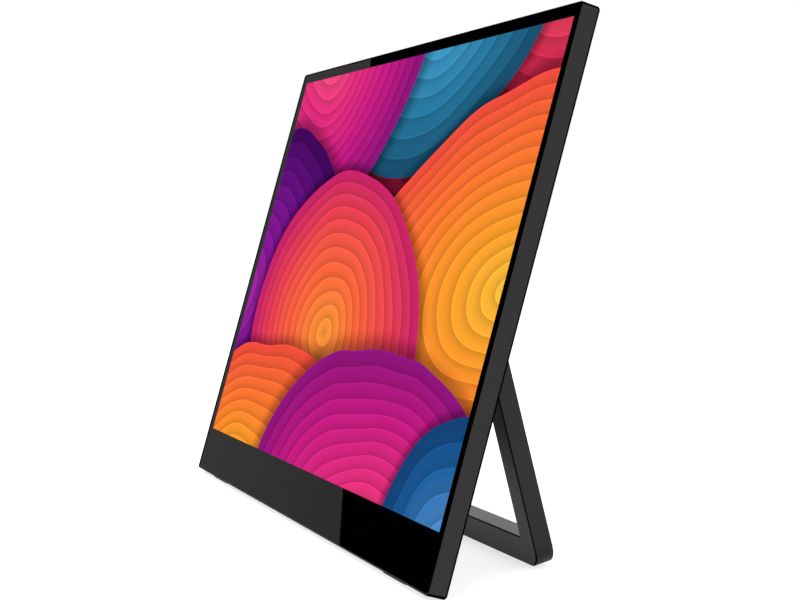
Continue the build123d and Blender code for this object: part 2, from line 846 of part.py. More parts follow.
with BuildPart() as audio_jack:
    block(-half_inner + flange_gap, socket_mouth + jack_length,
          jack_height - jack_width / 2, jack_height + jack_width / 2,
          jack_depth - jack_thickness / 2, jack_depth + jack_thickness / 2)
    rod(socket_mouth, -half_inner + flange_gap, jack_height, jack_depth, jack_collar_radius)
    rod(socket_mouth, socket_mouth + jack_bore_depth, jack_height, jack_depth,
        jack_bore_radius, mode=Mode.SUBTRACT)
save(audio_jack.part, "audio_jack")

# Keys: two push buttons and a rocker that tips on a pin
key_face = half_housing + key_proud
flange_outer = half_inner - flange_gap
stem_end = flange_outer - flange_thickness - stem_length
for name, height in button_heights.items():
    with BuildPart() as button:
        side_slot(flange_outer, key_face, height, key_depth, button_length, key_thickness)
        fillet(button.faces().sort_by(Axis.X)[-1].edges(), key_edge_radius)
        side_slot(flange_outer - flange_thickness, flange_outer, height, key_depth,
                  button_length + 2 * flange_overlap, key_thickness + 2 * flange_overlap)
        rod(stem_end, flange_outer - flange_thickness, height, key_depth, stem_radius)
    save(button.part, name)

rocker_flange_outer = half_inner - rocker_flange_gap
rocker_flange_inner = rocker_flange_outer - flange_thickness
rocker_stem_end = rocker_flange_inner - rocker_stem_length
with BuildPart() as adjust_rocker:
    side_slot(rocker_flange_outer, key_face, rocker_height, key_depth, rocker_length,
              key_thickness)
    fillet(adjust_rocker.faces().sort_by(Axis.X)[-1].edges(), key_edge_radius)
    side_slot(rocker_flange_inner, rocker_flange_outer, rocker_height, key_depth,
              rocker_length + 2 * flange_overlap, key_thickness + 2 * flange_overlap)
    block(rocker_pivot - rocker_lug_width / 2, rocker_flange_inner,
          rocker_height - rocker_lug_length / 2, rocker_height + rocker_lug_length / 2,
          key_depth - key_thickness / 2, key_depth + key_thickness / 2)
    for side in (-1, 1):
        rod(rocker_stem_end, rocker_flange_inner, rocker_height + side * rocker_post_offset,
            key_depth, stem_radius)
    post([(rocker_pivot, rocker_height)], pin_radius + pin_clearance,
         key_depth - key_thickness, key_depth + key_thickness, mode=Mode.SUBTRACT)
save(adjust_rocker.part, "adjust_rocker")

with BuildPart() as rocker_pin:
    post([(rocker_pivot, rocker_height)], pin_radius, board_back, inner_floor + pin_seat)
save(rocker_pin.part, "rocker_pin")

# Small side-press switches behind the keys. Each nub stops just short of its key's full travel.
rocker_stroke = rocker_post_offset * sin(radians(rocker_angle))
switch_places = [(height, stem_end - key_travel - key_gap) for height in button_heights.values()]
switch_places += [(rocker_height + side * rocker_post_offset,
                   rocker_stem_end - rocker_stroke - key_gap) for side in (-1, 1)]
with BuildPart() as key_switches:
    for height, nub_end in switch_places:
        body_right = nub_end - nub_length
        block(body_right - switch_length, body_right, height - switch_width / 2,
              height + switch_width / 2, board_back, board_back + switch_height)
        rod(body_right, nub_end, height, key_depth, nub_radius)
save(key_switches.part, "key_switches")

# Speakers, each with a dust mesh and a foam gasket over its sound slots
gasket_front = inner_floor - mesh_thickness - gasket_thickness
mesh_front = inner_floor - mesh_thickness
speaker_front = gasket_front - speaker_depth
for side, word in ((-1, "left"), (1, "right")):
    left, right = sorted((side * speaker_inner, side * speaker_outer))
    bottom, top = speaker_level - speaker_height / 2, speaker_level + speaker_height / 2
    with BuildPart() as speaker:
        block(left, right, bottom, top, speaker_front, gasket_front)
        block(left + speaker_cone_inset, right - speaker_cone_inset, bottom + speaker_cone_inset,
              top - speaker_cone_inset, gasket_front - speaker_cone_depth, gasket_front,
              corner=speaker_cone_inset, mode=Mode.SUBTRACT)
        block(left + dome_end_inset, right - dome_end_inset,
              bottom + dome_side_inset, top - dome_side_inset,
              gasket_front - speaker_cone_depth, gasket_front - speaker_cone_depth + dome_height,
              corner=dome_corner)
    save(speaker.part, f"speaker_{word}")
    with BuildPart() as speaker_gasket:
        ring((left, right, bottom, top, 0),
             (left + gasket_width, right - gasket_width, bottom + gasket_width,
              top - gasket_width, 0), gasket_front, mesh_front)
    save(speaker_gasket.part, f"speaker_gasket_{word}")
    with BuildPart() as speaker_mesh:
        block(left, right, bottom, top, mesh_front, inner_floor)
    save(speaker_mesh.part, f"speaker_mesh_{word}")

# Cables inside: flat films to the display and the keys, and a lead to each speaker
cable_half = display_cable_thickness / 2
cable_floor = board_depth - cable_half
cable_rise_start = cable_slot_bottom + display_cable_margin
cable_rise_end = cable_rise_start + display_cable_slope
display_line = (
    (panel_board_top - display_cable_landing, panel_board_back - cable_half),
    (cable_rise_start, panel_board_back - cable_half),
    (cable_rise_end, cable_floor),
    (cable_rise_end + display_cable_tail, cable_floor),
)
with BuildPart() as display_cable:
    folded_sheet(display_line, display_cable_bend, -display_cable_width / 2,
                 display_cable_width, display_cable_thickness)
save(display_cable.part, "display_cable")

with BuildPart() as key_cable:
    bottom = main_board_bottom + key_cable_rise - key_cable_width / 2
    block(main_board_right - key_cable_lap, key_board_left + key_cable_landing,
          bottom, bottom + key_cable_width, board_back, board_back + display_cable_thickness)
save(key_cable.part, "key_cable")

lead_depth = board_back + lead_radius
lead_level = speaker_level + lead_rise
lead_end = main_board_bottom + lead_reach
left_lead_landing = lead_side_reach - speaker_inner
with BuildPart() as speaker_leads:
    for side, landing in ((-1, left_lead_landing), (1, right_lead_landing)):
        start = side * speaker_inner
        with BuildLine(face_at(lead_depth)) as route:
            FilletPolyline((start, lead_level), (landing, lead_level),
                           (landing, lead_end), radius=lead_bend)
        with BuildSketch(side_at(start)):
            with Locations((lead_level, -lead_depth)):
                Circle(lead_radius)
        sweep(path=route.line)
save(speaker_leads.part, "speaker_leads")

# Hinges: a steel bracket with a barrel, and a shaft that carries washers and a nut
barrel_left = hinge_side_left
barrel_right = hinge_side_left + barrel_length
collar_left = barrel_right + bearing_clearance
spigot_end = half_stand - arm_width + spigot_depth
arm_inner = half_stand - arm_width
leaf_bottom = hinge_height - leaf_drop
leaf_top = hinge_height + web_thickness / 2
leaf_back = slab_depth + leaf_thickness


def mirrored(left, right, side):
    """A stretch of X on the right, or its mirror image on the left."""
    return sorted((side * left, side * right))


for side, word in ((-1, "left"), (1, "right")):
    with BuildPart() as hinge_bracket:
        ends = mirrored(barrel_left, barrel_right, side)
        block(*ends, leaf_bottom, leaf_top, slab_depth, leaf_back)
        block(*ends, hinge_height - web_thickness / 2, hinge_height + web_thickness / 2,
              slab_depth, hinge_depth)
        rod(*ends, hinge_height, hinge_depth, barrel_radius)
        rod(*ends, hinge_height, hinge_depth, shaft_radius + bearing_clearance,
            mode=Mode.SUBTRACT)
        post([(side * hinge_screw_across, height) for height in hinge_screw_heights],
             screw_radius + screw_play, slab_depth, leaf_back, mode=Mode.SUBTRACT)
    save(hinge_bracket.part, f"hinge_bracket_{word}")

    with BuildPart() as hinge_shaft:
        rod(*mirrored(shaft_left, collar_left, side), hinge_height, hinge_depth, shaft_radius)
        rod(*mirrored(collar_left, collar_left + collar_length, side), hinge_height,
            hinge_depth, barrel_radius)
        rod(*mirrored(collar_left + collar_length, spigot_end, side), hinge_height,
            hinge_depth, spigot_radius)
        with BuildSketch(stand_plane.offset(-spigot_radius)) as flat:
            ends = mirrored(arm_inner, spigot_end, side)
            with Locations((sum(ends) / 2, 0)):
                Rectangle(spigot_depth, 2 * spigot_radius)
        extrude(flat.sketch, amount=spigot_flat, mode=Mode.SUBTRACT)
    save(hinge_shaft.part, f"hinge_shaft_{word}")

    with BuildPart() as hinge_washers:
        for index in range(washer_count):
            right = barrel_left - bearing_clearance - index * washer_thickness
            ends = mirrored(right - washer_thickness, right, side)
            radius = (washer_radius, small_washer_radius)[index % 2]
            rod(*ends, hinge_height, hinge_depth, radius)
        rod(*mirrored(nut_left, barrel_left, side), hinge_height, hinge_depth,
            shaft_radius + screw_fit, mode=Mode.SUBTRACT)
    save(hinge_washers.part, f"hinge_washers_{word}")

    with BuildPart() as hinge_nut:
        ends = mirrored(nut_left, nut_left + nut_length, side)
        with BuildSketch(side_at(ends[0])):
            with Locations((hinge_height, -hinge_depth)):
                RegularPolygon(nut_flat_radius, 6, major_radius=False)
                Circle(shaft_radius + screw_fit, mode=Mode.SUBTRACT)
        extrude(amount=nut_length)
    save(hinge_nut.part, f"hinge_nut_{word}")

with BuildPart() as hinge_screws:
    screws(hinge_spots, leaf_back, hinge_screw_length + leaf_thickness, True)
save(hinge_screws.part, "hinge_screws")

# Stand: one flat U of aluminium, with round knuckles at the tips of its arms
strip_half = half_stand - stand_corner_radius - strip_end_space
bore_depth = spigot_depth + spigot_end_gap
bore_radius = spigot_radius + bearing_clearance
knuckle_radius = stand_thickness / 2
pivot_screw_across = arm_inner + pivot_screw_inset
with BuildPart() as stand_frame:
    with BuildSketch(stand_plane.offset(-stand_thickness / 2)):
        with Locations((0, -stand_reach / 2)):
            Rectangle(stand_width, stand_reach)
        with Locations((0, (bar_height - stand_reach) / 2)):
            Rectangle(2 * arm_inner, stand_reach - bar_height, mode=Mode.SUBTRACT)
    extrude(amount=stand_thickness)
    along_arm = Axis(hinge_point, stand_plane.y_dir)
    through = Axis(hinge_point, stand_plane.z_dir)
    corners = stand_frame.edges().filter_by(through).group_by(along_arm)
    fillet(corners[1], stand_inner_radius)
    corners = stand_frame.edges().filter_by(through).group_by(along_arm)
    fillet(corners[0], stand_corner_radius)
    rims = stand_frame.faces().sort_by(through)[0].edges()
    rims += stand_frame.faces().sort_by(through)[-1].edges()
    top_edges = rims.filter_by(Axis.X).group_by(along_arm)[-1]
    fillet([edge for edge in rims if edge not in top_edges], stand_edge_radius)
    for side in (-1, 1):
        ends = mirrored(arm_inner, half_stand, side)
        with BuildPart(mode=Mode.PRIVATE) as knuckle:
            rod(*ends, hinge_height, hinge_depth, knuckle_radius)
            fillet(knuckle.edges().filter_by(GeomType.CIRCLE), stand_edge_radius)
        add(knuckle.part)
        rod(*mirrored(arm_inner, arm_inner + bore_depth, side), hinge_height, hinge_depth,
            bore_radius, mode=Mode.SUBTRACT)
        with BuildSketch(stand_plane.offset(-knuckle_radius)):
            with Locations((side * pivot_screw_across, 0)):
                Circle(screw_radius + screw_fit)
        extrude(amount=knuckle_radius, mode=Mode.SUBTRACT)
    with BuildSketch(stand_plane.offset(strip_front - strip_width)):
        with Locations((0, strip_sink / 2 - stand_reach)):
            Rectangle(2 * strip_half, strip_sink)
    extrude(amount=strip_width, mode=Mode.SUBTRACT)
save(stand_frame.part, "stand_frame")

with BuildPart() as pivot_screws:
    for side in (-1, 1):
        with BuildSketch(stand_plane.offset(-knuckle_radius + head_sink)):
            with Locations((side * pivot_screw_across, 0)):
                Circle(screw_radius)
        extrude(amount=knuckle_radius - head_sink - spigot_radius + spigot_flat - screw_fit)
        with BuildSketch(stand_plane.offset(-knuckle_radius + head_sink)):
            with Locations((side * pivot_screw_across, 0)):
                RegularPolygon(drive_radius / 2, 6)
        extrude(amount=drive_depth, mode=Mode.SUBTRACT)
save(pivot_screws.part, "pivot_screws")

# Rubber: a strip in the end of the bar and a foot near each end of the slab, cut flat by the desk
with BuildPart() as stand_foot_strip:
    with BuildSketch(stand_plane.offset(strip_front - strip_width)):
        with Locations((0, (strip_sink - strip_proud) / 2 - stand_reach)):
            Rectangle(2 * strip_half, strip_sink + strip_proud)
    extrude(amount=strip_width)
    split(bisect_by=Plane.XY, keep=Keep.TOP)
save(stand_foot_strip.part, "stand_foot_strip")

for side, word in ((-1, "left"), (1, "right")):
    with BuildPart() as desk_foot:
        with BuildSketch(face_at(foot_back)):
            with Locations((side * foot_centre, (foot_sink - foot_proud) / 2)):
                Rectangle(foot_length, foot_sink + foot_proud)
        extrude(amount=foot_back - foot_front)
        lower = desk_foot.edges().filter_by(out_of_screen)
        lower = lower.group_by(Axis(slab_plane.origin, slab_plane.y_dir))[0]
        fillet(lower, foot_end_radius)
        split(bisect_by=Plane.XY, keep=Keep.TOP)
    save(desk_foot.part, f"desk_foot_{word}")

with BuildPart() as fold_bumpers:
    post(bumper_spots, bumper_radius, slab_depth - bumper_sink, slab_depth + bumper_proud)
save(fold_bumpers.part, "fold_bumpers")

print("lean", round(degrees(lean), 3), "slab", round(slab_width, 2), round(slab_height, 2))
print("slab origin", [round(value, 4) for value in slab_plane.origin])
print("hinge point", [round(value, 4) for value in hinge_point])
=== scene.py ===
"""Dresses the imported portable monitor: finishes, the picture on its screen, and small fittings."""

import json
import math

import bmesh
import bpy
from bpy.props import FloatProperty, FloatVectorProperty, PointerProperty, StringProperty
from mathutils import Matrix, Vector


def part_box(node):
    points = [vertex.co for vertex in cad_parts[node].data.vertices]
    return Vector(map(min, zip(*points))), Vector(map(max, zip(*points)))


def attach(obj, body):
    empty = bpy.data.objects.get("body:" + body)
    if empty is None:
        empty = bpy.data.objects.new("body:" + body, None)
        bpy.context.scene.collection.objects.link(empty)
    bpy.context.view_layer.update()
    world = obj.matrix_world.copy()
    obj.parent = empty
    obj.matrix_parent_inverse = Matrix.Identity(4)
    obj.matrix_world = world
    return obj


bl_info = {
    "name": "Portable Monitor",
    "version": (1, 0, 0),
    "blender": (4, 5, 0),
    "location": "View3D > Sidebar > Monitor",
    "description": "Finishes a slim portable monitor with a folding stand",
    "category": "Object",
}

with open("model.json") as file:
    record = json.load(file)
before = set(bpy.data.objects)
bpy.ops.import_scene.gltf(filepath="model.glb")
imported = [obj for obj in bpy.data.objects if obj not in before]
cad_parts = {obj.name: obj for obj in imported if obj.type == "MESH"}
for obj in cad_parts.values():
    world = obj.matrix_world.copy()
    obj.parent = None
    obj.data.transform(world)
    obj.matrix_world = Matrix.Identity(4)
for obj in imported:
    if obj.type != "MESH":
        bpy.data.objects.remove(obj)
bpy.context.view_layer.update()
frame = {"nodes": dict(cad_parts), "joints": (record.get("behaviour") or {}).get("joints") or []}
nodes = frame["nodes"]
joints = {joint["name"]: joint for joint in frame["joints"]}

MM = 0.001

# The slab leans back. The rocker's pin stands square to the screen, so its axis gives the lean.
out_of_screen = Vector(joints["rocker_hinge"]["axis"]).normalized()
up_screen = out_of_screen.cross(Vector((1, 0, 0))).normalized()
lean = math.atan2(out_of_screen.z, -out_of_screen.y)

# The glass gives the slab's place: its lower front edge is its lowest point in Y.
GLASS_INSET = 0.7 * MM
GLASS_DEPTH = 0.8 * MM
glass_low, glass_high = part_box("cover_glass")
slab_origin = Vector((0, glass_low.y, glass_low.z + GLASS_DEPTH * math.sin(lean)))
slab_origin -= up_screen * GLASS_INSET
slab_height = (glass_high.z - glass_low.z - GLASS_DEPTH * math.sin(lean)) / math.cos(lean)
slab_height += 2 * GLASS_INSET
half_slab = glass_high.x + GLASS_INSET

# Slab coordinates as a matrix: x across, y up the screen, z out of it
slab_matrix = Matrix((
    (1, 0, 0, slab_origin.x),
    (0, up_screen.y, out_of_screen.y, slab_origin.y),
    (0, up_screen.z, out_of_screen.z, slab_origin.z),
    (0, 0, 0, 1),
))
to_slab = slab_matrix.inverted()

# Folded, the stand lies along the slab, so its joint's lower limit gives its lean at rest.
stand_lean = lean + math.radians(joints["stand_hinge"]["range_deg"][0])


def slab_centre(name):
    """The middle of a carried-over node, in slab coordinates."""
    low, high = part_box(name)
    return to_slab @ ((low + high) / 2)


class PictureSettings(bpy.types.PropertyGroup):
    """The lit area and the picture that it shows."""

    width: FloatProperty(name="Lit Width", description="Width of the lit area",
                         default=344.2 * MM, unit="LENGTH")
    height: FloatProperty(name="Lit Height", description="Height of the lit area",
                          default=193.6 * MM, unit="LENGTH")
    bottom: FloatProperty(name="Lower Border", description="Black border below the lit area",
                          default=22.65 * MM, unit="LENGTH")
    left_strip: FloatProperty(name="Left Strip", description="Unlit strip at the picture's left",
                              default=4.6 * MM, unit="LENGTH")
    brightness: FloatProperty(name="Brightness", description="Strength of the lit picture",
                              default=1.0, min=0.0)


class FinishSettings(bpy.types.PropertyGroup):
    """Colours that another edition of the monitor would change, as sRGB hex."""

    casing: StringProperty(name="Casing", description="Colour of the anodised aluminium",
                           default="1c1c1d")
    housing: StringProperty(name="Housing", description="Colour of the moulded housing",
                            default="161617")
    rubber: StringProperty(name="Rubber", description="Colour of the feet and bumpers",
                           default="1b1b1b")


class StageSettings(bpy.types.PropertyGroup):
    """The camera, the lamps and the cards round the monitor."""

    lens: FloatProperty(name="Lens", description="Focal length in millimetres", default=79.845)
    camera_place: FloatVectorProperty(
        name="Camera Place", description="Where the camera stands", subtype="TRANSLATION",
        default=(762.84 * MM, -254.83 * MM, 135.17 * MM))
    heading: FloatProperty(name="Heading", description="Camera's turn to the left of +Y",
                           default=math.radians(70.311), subtype="ANGLE")
    pitch: FloatProperty(name="Pitch", description="Camera's tilt above level",
                         default=math.radians(-0.718), subtype="ANGLE")
    lens_drop: FloatProperty(
        name="Lens Drop", description="How far the frame sits below the lens axis, in widths",
        default=-0.0708)
    soft_light: FloatProperty(name="Soft Light", description="Strength of the light all round",
                              default=0.6, min=0.0)


def linear(hex_colour):
    """An sRGB hex colour as linear red, green, blue and alpha."""
    channels = [int(hex_colour[i:i + 2], 16) / 255 for i in (0, 2, 4)]
    return [c / 12.92 if c <= 0.04045 else ((c + 0.055) / 1.055) ** 2.4 for c in channels] + [1]


def lighter(hex_colour, step):
    """A hex colour with the same step added to each channel."""
    channels = [min(255, int(hex_colour[i:i + 2], 16) + step) for i in (0, 2, 4)]
    return "".join(f"{channel:02x}" for channel in channels)


def add_node(tree, kind, settings=None, values=None, links=None):
    """Adds a node with its own settings, its socket values and what feeds its sockets."""
    node = tree.nodes.new(kind)
    for field, value in (settings or {}).items():
        setattr(node, field, value)
    for socket, value in (values or {}).items():
        node.inputs[socket].default_value = value
    for socket, source in (links or {}).items():
        tree.links.new(source, node.inputs[socket])
    return node


def sorted_out(**sources):
    """Splits numbers and colours from sockets, for add_node."""
    links = {name: source for name, source in sources.items()
             if isinstance(source, bpy.types.NodeSocket)}
    values = {name: source for name, source in sources.items() if name not in links}
    return values, links


def arithmetic(tree, operation, first, second=0.0):
    """One sum of two sockets or numbers."""
    values, links = sorted_out(first=first, second=second)
    places = {"first": 0, "second": 1}
    node = add_node(tree, "ShaderNodeMath", {"operation": operation},
                    {places[name]: value for name, value in values.items()},
                    {places[name]: source for name, source in links.items()})
    return node.outputs[0]


def blended(tree, factor, first, second, mode="MIX"):
    """Two colours mixed by a factor. Each is a value or a socket, and the result is a socket."""
    values, links = sorted_out(Factor=factor, A=first, B=second)
    mix = add_node(tree, "ShaderNodeMix", {"data_type": "RGBA", "blend_type": mode}, values, links)
    return mix.outputs["Result"]


def new_material(name, values):
    """A material with one shader whose sockets have these values, and its tree."""
    material = bpy.data.materials.new(name)
    material.use_nodes = True
    tree = material.node_tree
    tree.nodes.clear()
    shader = add_node(tree, "ShaderNodeBsdfPrincipled", values=values)
    output = add_node(tree, "ShaderNodeOutputMaterial")
    tree.links.new(shader.outputs["BSDF"], output.inputs["Surface"])
    return material, tree, shader


def colour_ramp(tree, source, stops):
    """A ramp of (place, colour) stops, fed by a socket. A colour is linear, with its alpha."""
    ramp = add_node(tree, "ShaderNodeValToRGB", links={"Fac": source})
    elements = ramp.color_ramp.elements
    while len(elements) < len(stops):
        elements.new(0.5)
    for element, (place, colour) in zip(elements, stops):
        element.position = place
        element.color = colour
    return ramp.outputs["Color"]


def hex_ramp(tree, source, *stops):
    """A ramp of (place, sRGB hex) stops."""
    return colour_ramp(tree, source, [(place, linear(colour)) for place, colour in stops])


def in_object(tree):
    """Object coordinates, in metres."""
    return add_node(tree, "ShaderNodeTexCoord").outputs["Object"]


def on_slab(tree, corner=(0, 0, 0)):
    """Slab coordinates in millimetres from a corner: x across, y up the screen, z out of it."""
    offset = to_slab.translation - Vector(corner)
    flat = add_node(tree, "ShaderNodeMapping", values={
        "Location": offset, "Rotation": to_slab.to_euler()}, links={"Vector": in_object(tree)})
    in_mm = add_node(tree, "ShaderNodeVectorMath", {"operation": "SCALE"}, {"Scale": 1 / MM},
                     {"Vector": flat.outputs["Vector"]})
    return in_mm.outputs["Vector"]


def parts_of(tree, vector):
    """A vector's x, y and z as three sockets."""
    split = add_node(tree, "ShaderNodeSeparateXYZ", links={0: vector})
    return split.outputs["X"], split.outputs["Y"], split.outputs["Z"]


def within(tree, value, low, high):
    """A socket that is 1 where a value lies between two numbers, and 0 elsewhere."""
    offset = arithmetic(tree, "SUBTRACT", value, (low + high) / 2)
    size = arithmetic(tree, "ABSOLUTE", offset)
    return arithmetic(tree, "LESS_THAN", size, (high - low) / 2)


def noise_of(tree, grain):
    """Fine noise whose cells are about a grain wide, in millimetres."""
    noise = add_node(tree, "ShaderNodeTexNoise", values={
        "Scale": 1 / (grain * MM), "Detail": 3.0, "Roughness": 0.6},
        links={"Vector": in_object(tree)})
    return noise.outputs["Fac"]


def dress(material, *names):
    """Gives carried-over nodes this material."""
    for name in names:
        slots = nodes[name].data.materials
        slots.clear()
        slots.append(material)


# Noise mostly lies in this span, and a finish's two colours sit at these places of it
NOISE_SPAN = (0.3, 0.7)
GRAIN_STOPS = (0.35, 0.65)


def grained(name, low, high, grain, depth, roughness, values=None):
    """A finish with fine grain: two colours, grain size and depth in mm, and a roughness span."""
    material, tree, shader = new_material(name, values or {})
    noise = noise_of(tree, grain)
    shine = add_node(tree, "ShaderNodeMapRange", values={
        "From Min": NOISE_SPAN[0], "From Max": NOISE_SPAN[1],
        "To Min": roughness[0], "To Max": roughness[1]}, links={"Value": noise})
    bump = add_node(tree, "ShaderNodeBump", values={"Strength": 0.5, "Distance": depth * MM},
                    links={"Height": noise})
    colour = hex_ramp(tree, noise, *zip(GRAIN_STOPS, (low, high)))
    tree.links.new(colour, shader.inputs["Base Color"])
    tree.links.new(shine.outputs["Result"], shader.inputs["Roughness"])
    tree.links.new(bump.outputs["Normal"], shader.inputs["Normal"])
    return material


# The picture: overlapping oval shells with stepped rings, on the lit area.
# Each shell has a centre and half widths in millimetres from the lit area's lower left corner, a
# turn in degrees, a count of rings, and its colours from the middle outwards.
BLUES = ((0.0, "8ec6ea"), (0.3, "3f97c4"), (0.62, "2a7ca5"), (1.0, "174a68"))
DEEP_BLUES = ((0.0, "9ac4ee"), (0.35, "4f90cf"), (0.7, "1d5f9e"), (1.0, "123c70"))
CRIMSONS = ((0.0, "f0506a"), (0.35, "d42c50"), (0.7, "b01c44"), (1.0, "7c1238"))
ORANGES = ((0.0, "ffc23c"), (0.3, "ffa02c"), (0.6, "ff7a30"), (1.0, "f04a3c"))
CORALS = ((0.0, "ff9a3c"), (0.35, "ff6a3c"), (0.7, "ee4450"), (1.0, "c8206a"))
MAGENTAS = ((0.0, "ff5c84"), (0.35, "e8307e"), (0.7, "c81c84"), (1.0, "8a147c"))
PURPLES = ((0.0, "c030a8"), (0.35, "8a1a9a"), (0.7, "661082"), (1.0, "3c0658"))
SHELLS = (
    ((120, -190), (420, 420), 0, 44, CRIMSONS),
    ((330, 215), (150, 96), -8, 11, CRIMSONS),
    ((205, 222), (120, 88), 6, 9, BLUES),
    ((40, 214), (150, 104), -10, 14, MAGENTAS),
    ((-25, 70), (150, 92), 14, 12, PURPLES),
    ((350, 92), (190, 84), 10, 14, ORANGES),
    ((150, 60), (128, 76), -12, 12, CORALS),
    ((60, -22), (150, 74), 8, 12, ORANGES),
    ((262, -26), (170, 84), -6, 14, MAGENTAS),
    ((372, -14), (92, 60), 0, 7, DEEP_BLUES),
)
BEHIND_SHELLS = "7c1238"
# A slow noise bends the shells: its span and its reach in millimetres
WARP_SPAN = 95.0
WARP_REACH = 16.0
# A shell's shadow reaches this share of its size past it, and darkens to this much
SHADOW_REACH = 0.10
SHADOW_DEPTH = 0.45
# How light a ring is from its inner to its outer rim
RING_SHADES = ((0.0, 0.70), (0.45, 0.93), (0.86, 1.04), (0.95, 1.22), (1.0, 1.05))


def shell_layer(tree, place, below, centre, half_widths, turn, rings, colours):
    """One oval shell with stepped rings, laid over the colour below it with a soft shadow."""
    local = add_node(
        tree, "ShaderNodeMapping", {"vector_type": "TEXTURE"},
        {"Location": (*centre, 0), "Rotation": (0, 0, math.radians(turn)),
         "Scale": (*half_widths, 1)}, {"Vector": place})
    reach = add_node(tree, "ShaderNodeVectorMath", {"operation": "LENGTH"},
                     links={0: local.outputs["Vector"]}).outputs["Value"]
    step = arithmetic(tree, "FRACT", arithmetic(tree, "MULTIPLY", reach, rings))
    shade = colour_ramp(tree, step, [(spot, (level, level, level, 1))
                                     for spot, level in RING_SHADES])
    lit = blended(tree, 1.0, hex_ramp(tree, reach, *colours), shade, "MULTIPLY")
    shadow = add_node(tree, "ShaderNodeMapRange", {"interpolation_type": "SMOOTHSTEP"},
                      {"From Min": 1.0, "From Max": 1.0 + SHADOW_REACH, "To Min": SHADOW_DEPTH,
                       "To Max": 1.0}, {"Value": reach})
    darkened = blended(tree, 1.0, below, shadow.outputs["Result"], "MULTIPLY")
    return blended(tree, arithmetic(tree, "LESS_THAN", reach, 1.0), darkened, lit)


def black_bordered_cover_glass(settings):
    """Polished soda-lime glass over black ink: a sharp mirror on black, the picture behind it."""
    material, tree, shader = new_material("black_bordered_cover_glass", {
        "Base Color": linear("020203"), "Roughness": 0.012, "IOR": 1.5,
        "Emission Strength": settings.brightness})
    place = on_slab(tree, (-settings.width / 2, settings.bottom, 0))
    across, rise, out = parts_of(tree, place)
    flat = add_node(tree, "ShaderNodeCombineXYZ", links={"X": across, "Y": rise}).outputs[0]
    spread = add_node(tree, "ShaderNodeTexNoise", {"noise_dimensions": "2D"},
                      {"Scale": 1 / WARP_SPAN, "Detail": 1.0, "Roughness": 0.4},
                      {"Vector": flat})
    centred = add_node(tree, "ShaderNodeVectorMath", {"operation": "SUBTRACT"},
                       {1: (0.5, 0.5, 0.5)}, {0: spread.outputs["Color"]})
    bent = add_node(tree, "ShaderNodeVectorMath", {"operation": "MULTIPLY_ADD"},
                    {1: (WARP_REACH, WARP_REACH, 0)}, {0: centred.outputs["Vector"], 2: flat})
    picture = linear(BEHIND_SHELLS)
    for shell in SHELLS:
        picture = shell_layer(tree, bent.outputs["Vector"], picture, *shell)
    # The picture stops at the lit area's edges, and only the front face shows it
    lit = within(tree, across, settings.left_strip / MM, settings.width / MM)
    inside = arithmetic(tree, "MULTIPLY", lit, within(tree, rise, 0, settings.height / MM))
    in_front = arithmetic(tree, "GREATER_THAN", out, -GLASS_DEPTH / MM / 2)
    shown = arithmetic(tree, "MULTIPLY", inside, in_front)
    tree.links.new(blended(tree, shown, (0, 0, 0, 1), picture), shader.inputs["Emission Color"])
    return material


# An edge is where no part of the turned normal passes its limit, and the edges are coloured near
# black as painted shade.
# The cover's rear edge is wider. A part below FLAT_TURN counts as none.
EDGE_TURN = 0.945
REAR_EDGE_TURN = 0.994
FLAT_TURN = 0.05
# The near black of the painted shade on the rounded edges
EDGE_PAINTED_SHADE = "0b0b0c"
# The lip below the glass ends this high on the slab, in millimetres
LIP_HEIGHT = 1.5
# The hinges' knuckles reach this far below their axis
KNUCKLE_REACH = 6 * MM


def turned_normal(tree, tilt):
    """The normal's parts along a leaning box's own axes: x, y to its back and z up it."""
    normal = add_node(tree, "ShaderNodeTexCoord").outputs["Normal"]
    level = add_node(tree, "ShaderNodeMapping", {"vector_type": "NORMAL"},
                     {"Rotation": (tilt, 0, 0)}, {"Vector": normal})
    return parts_of(tree, level.outputs["Vector"])


def rounded_edges(tree, normal, turn):
    """1 where a normal turns away from all three axes, as on rounded edges, and 0 elsewhere."""
    sizes = [arithmetic(tree, "ABSOLUTE", part) for part in normal]
    largest = arithmetic(tree, "MAXIMUM", arithmetic(tree, "MAXIMUM", sizes[0], sizes[1]),
                         sizes[2])
    return arithmetic(tree, "LESS_THAN", largest, turn)


def cover_painted_shade_mask(tree):
    """Where painted shade goes: 1 on the cover's rounded edges and on its rim round the glass, but
    for the lip below.
    """
    normal = turned_normal(tree, lean)
    to_front = arithmetic(tree, "LESS_THAN", normal[1], -EDGE_TURN)
    above_lip = arithmetic(tree, "GREATER_THAN", parts_of(tree, on_slab(tree))[1], LIP_HEIGHT)
    rim = arithmetic(tree, "MULTIPLY", to_front, above_lip)
    to_rear = arithmetic(tree, "GREATER_THAN", normal[1], FLAT_TURN)
    rear = arithmetic(tree, "MULTIPLY", to_rear, rounded_edges(tree, normal, REAR_EDGE_TURN))
    edges = arithmetic(tree, "MAXIMUM", rear, rounded_edges(tree, normal, EDGE_TURN))
    return arithmetic(tree, "MAXIMUM", edges, rim)


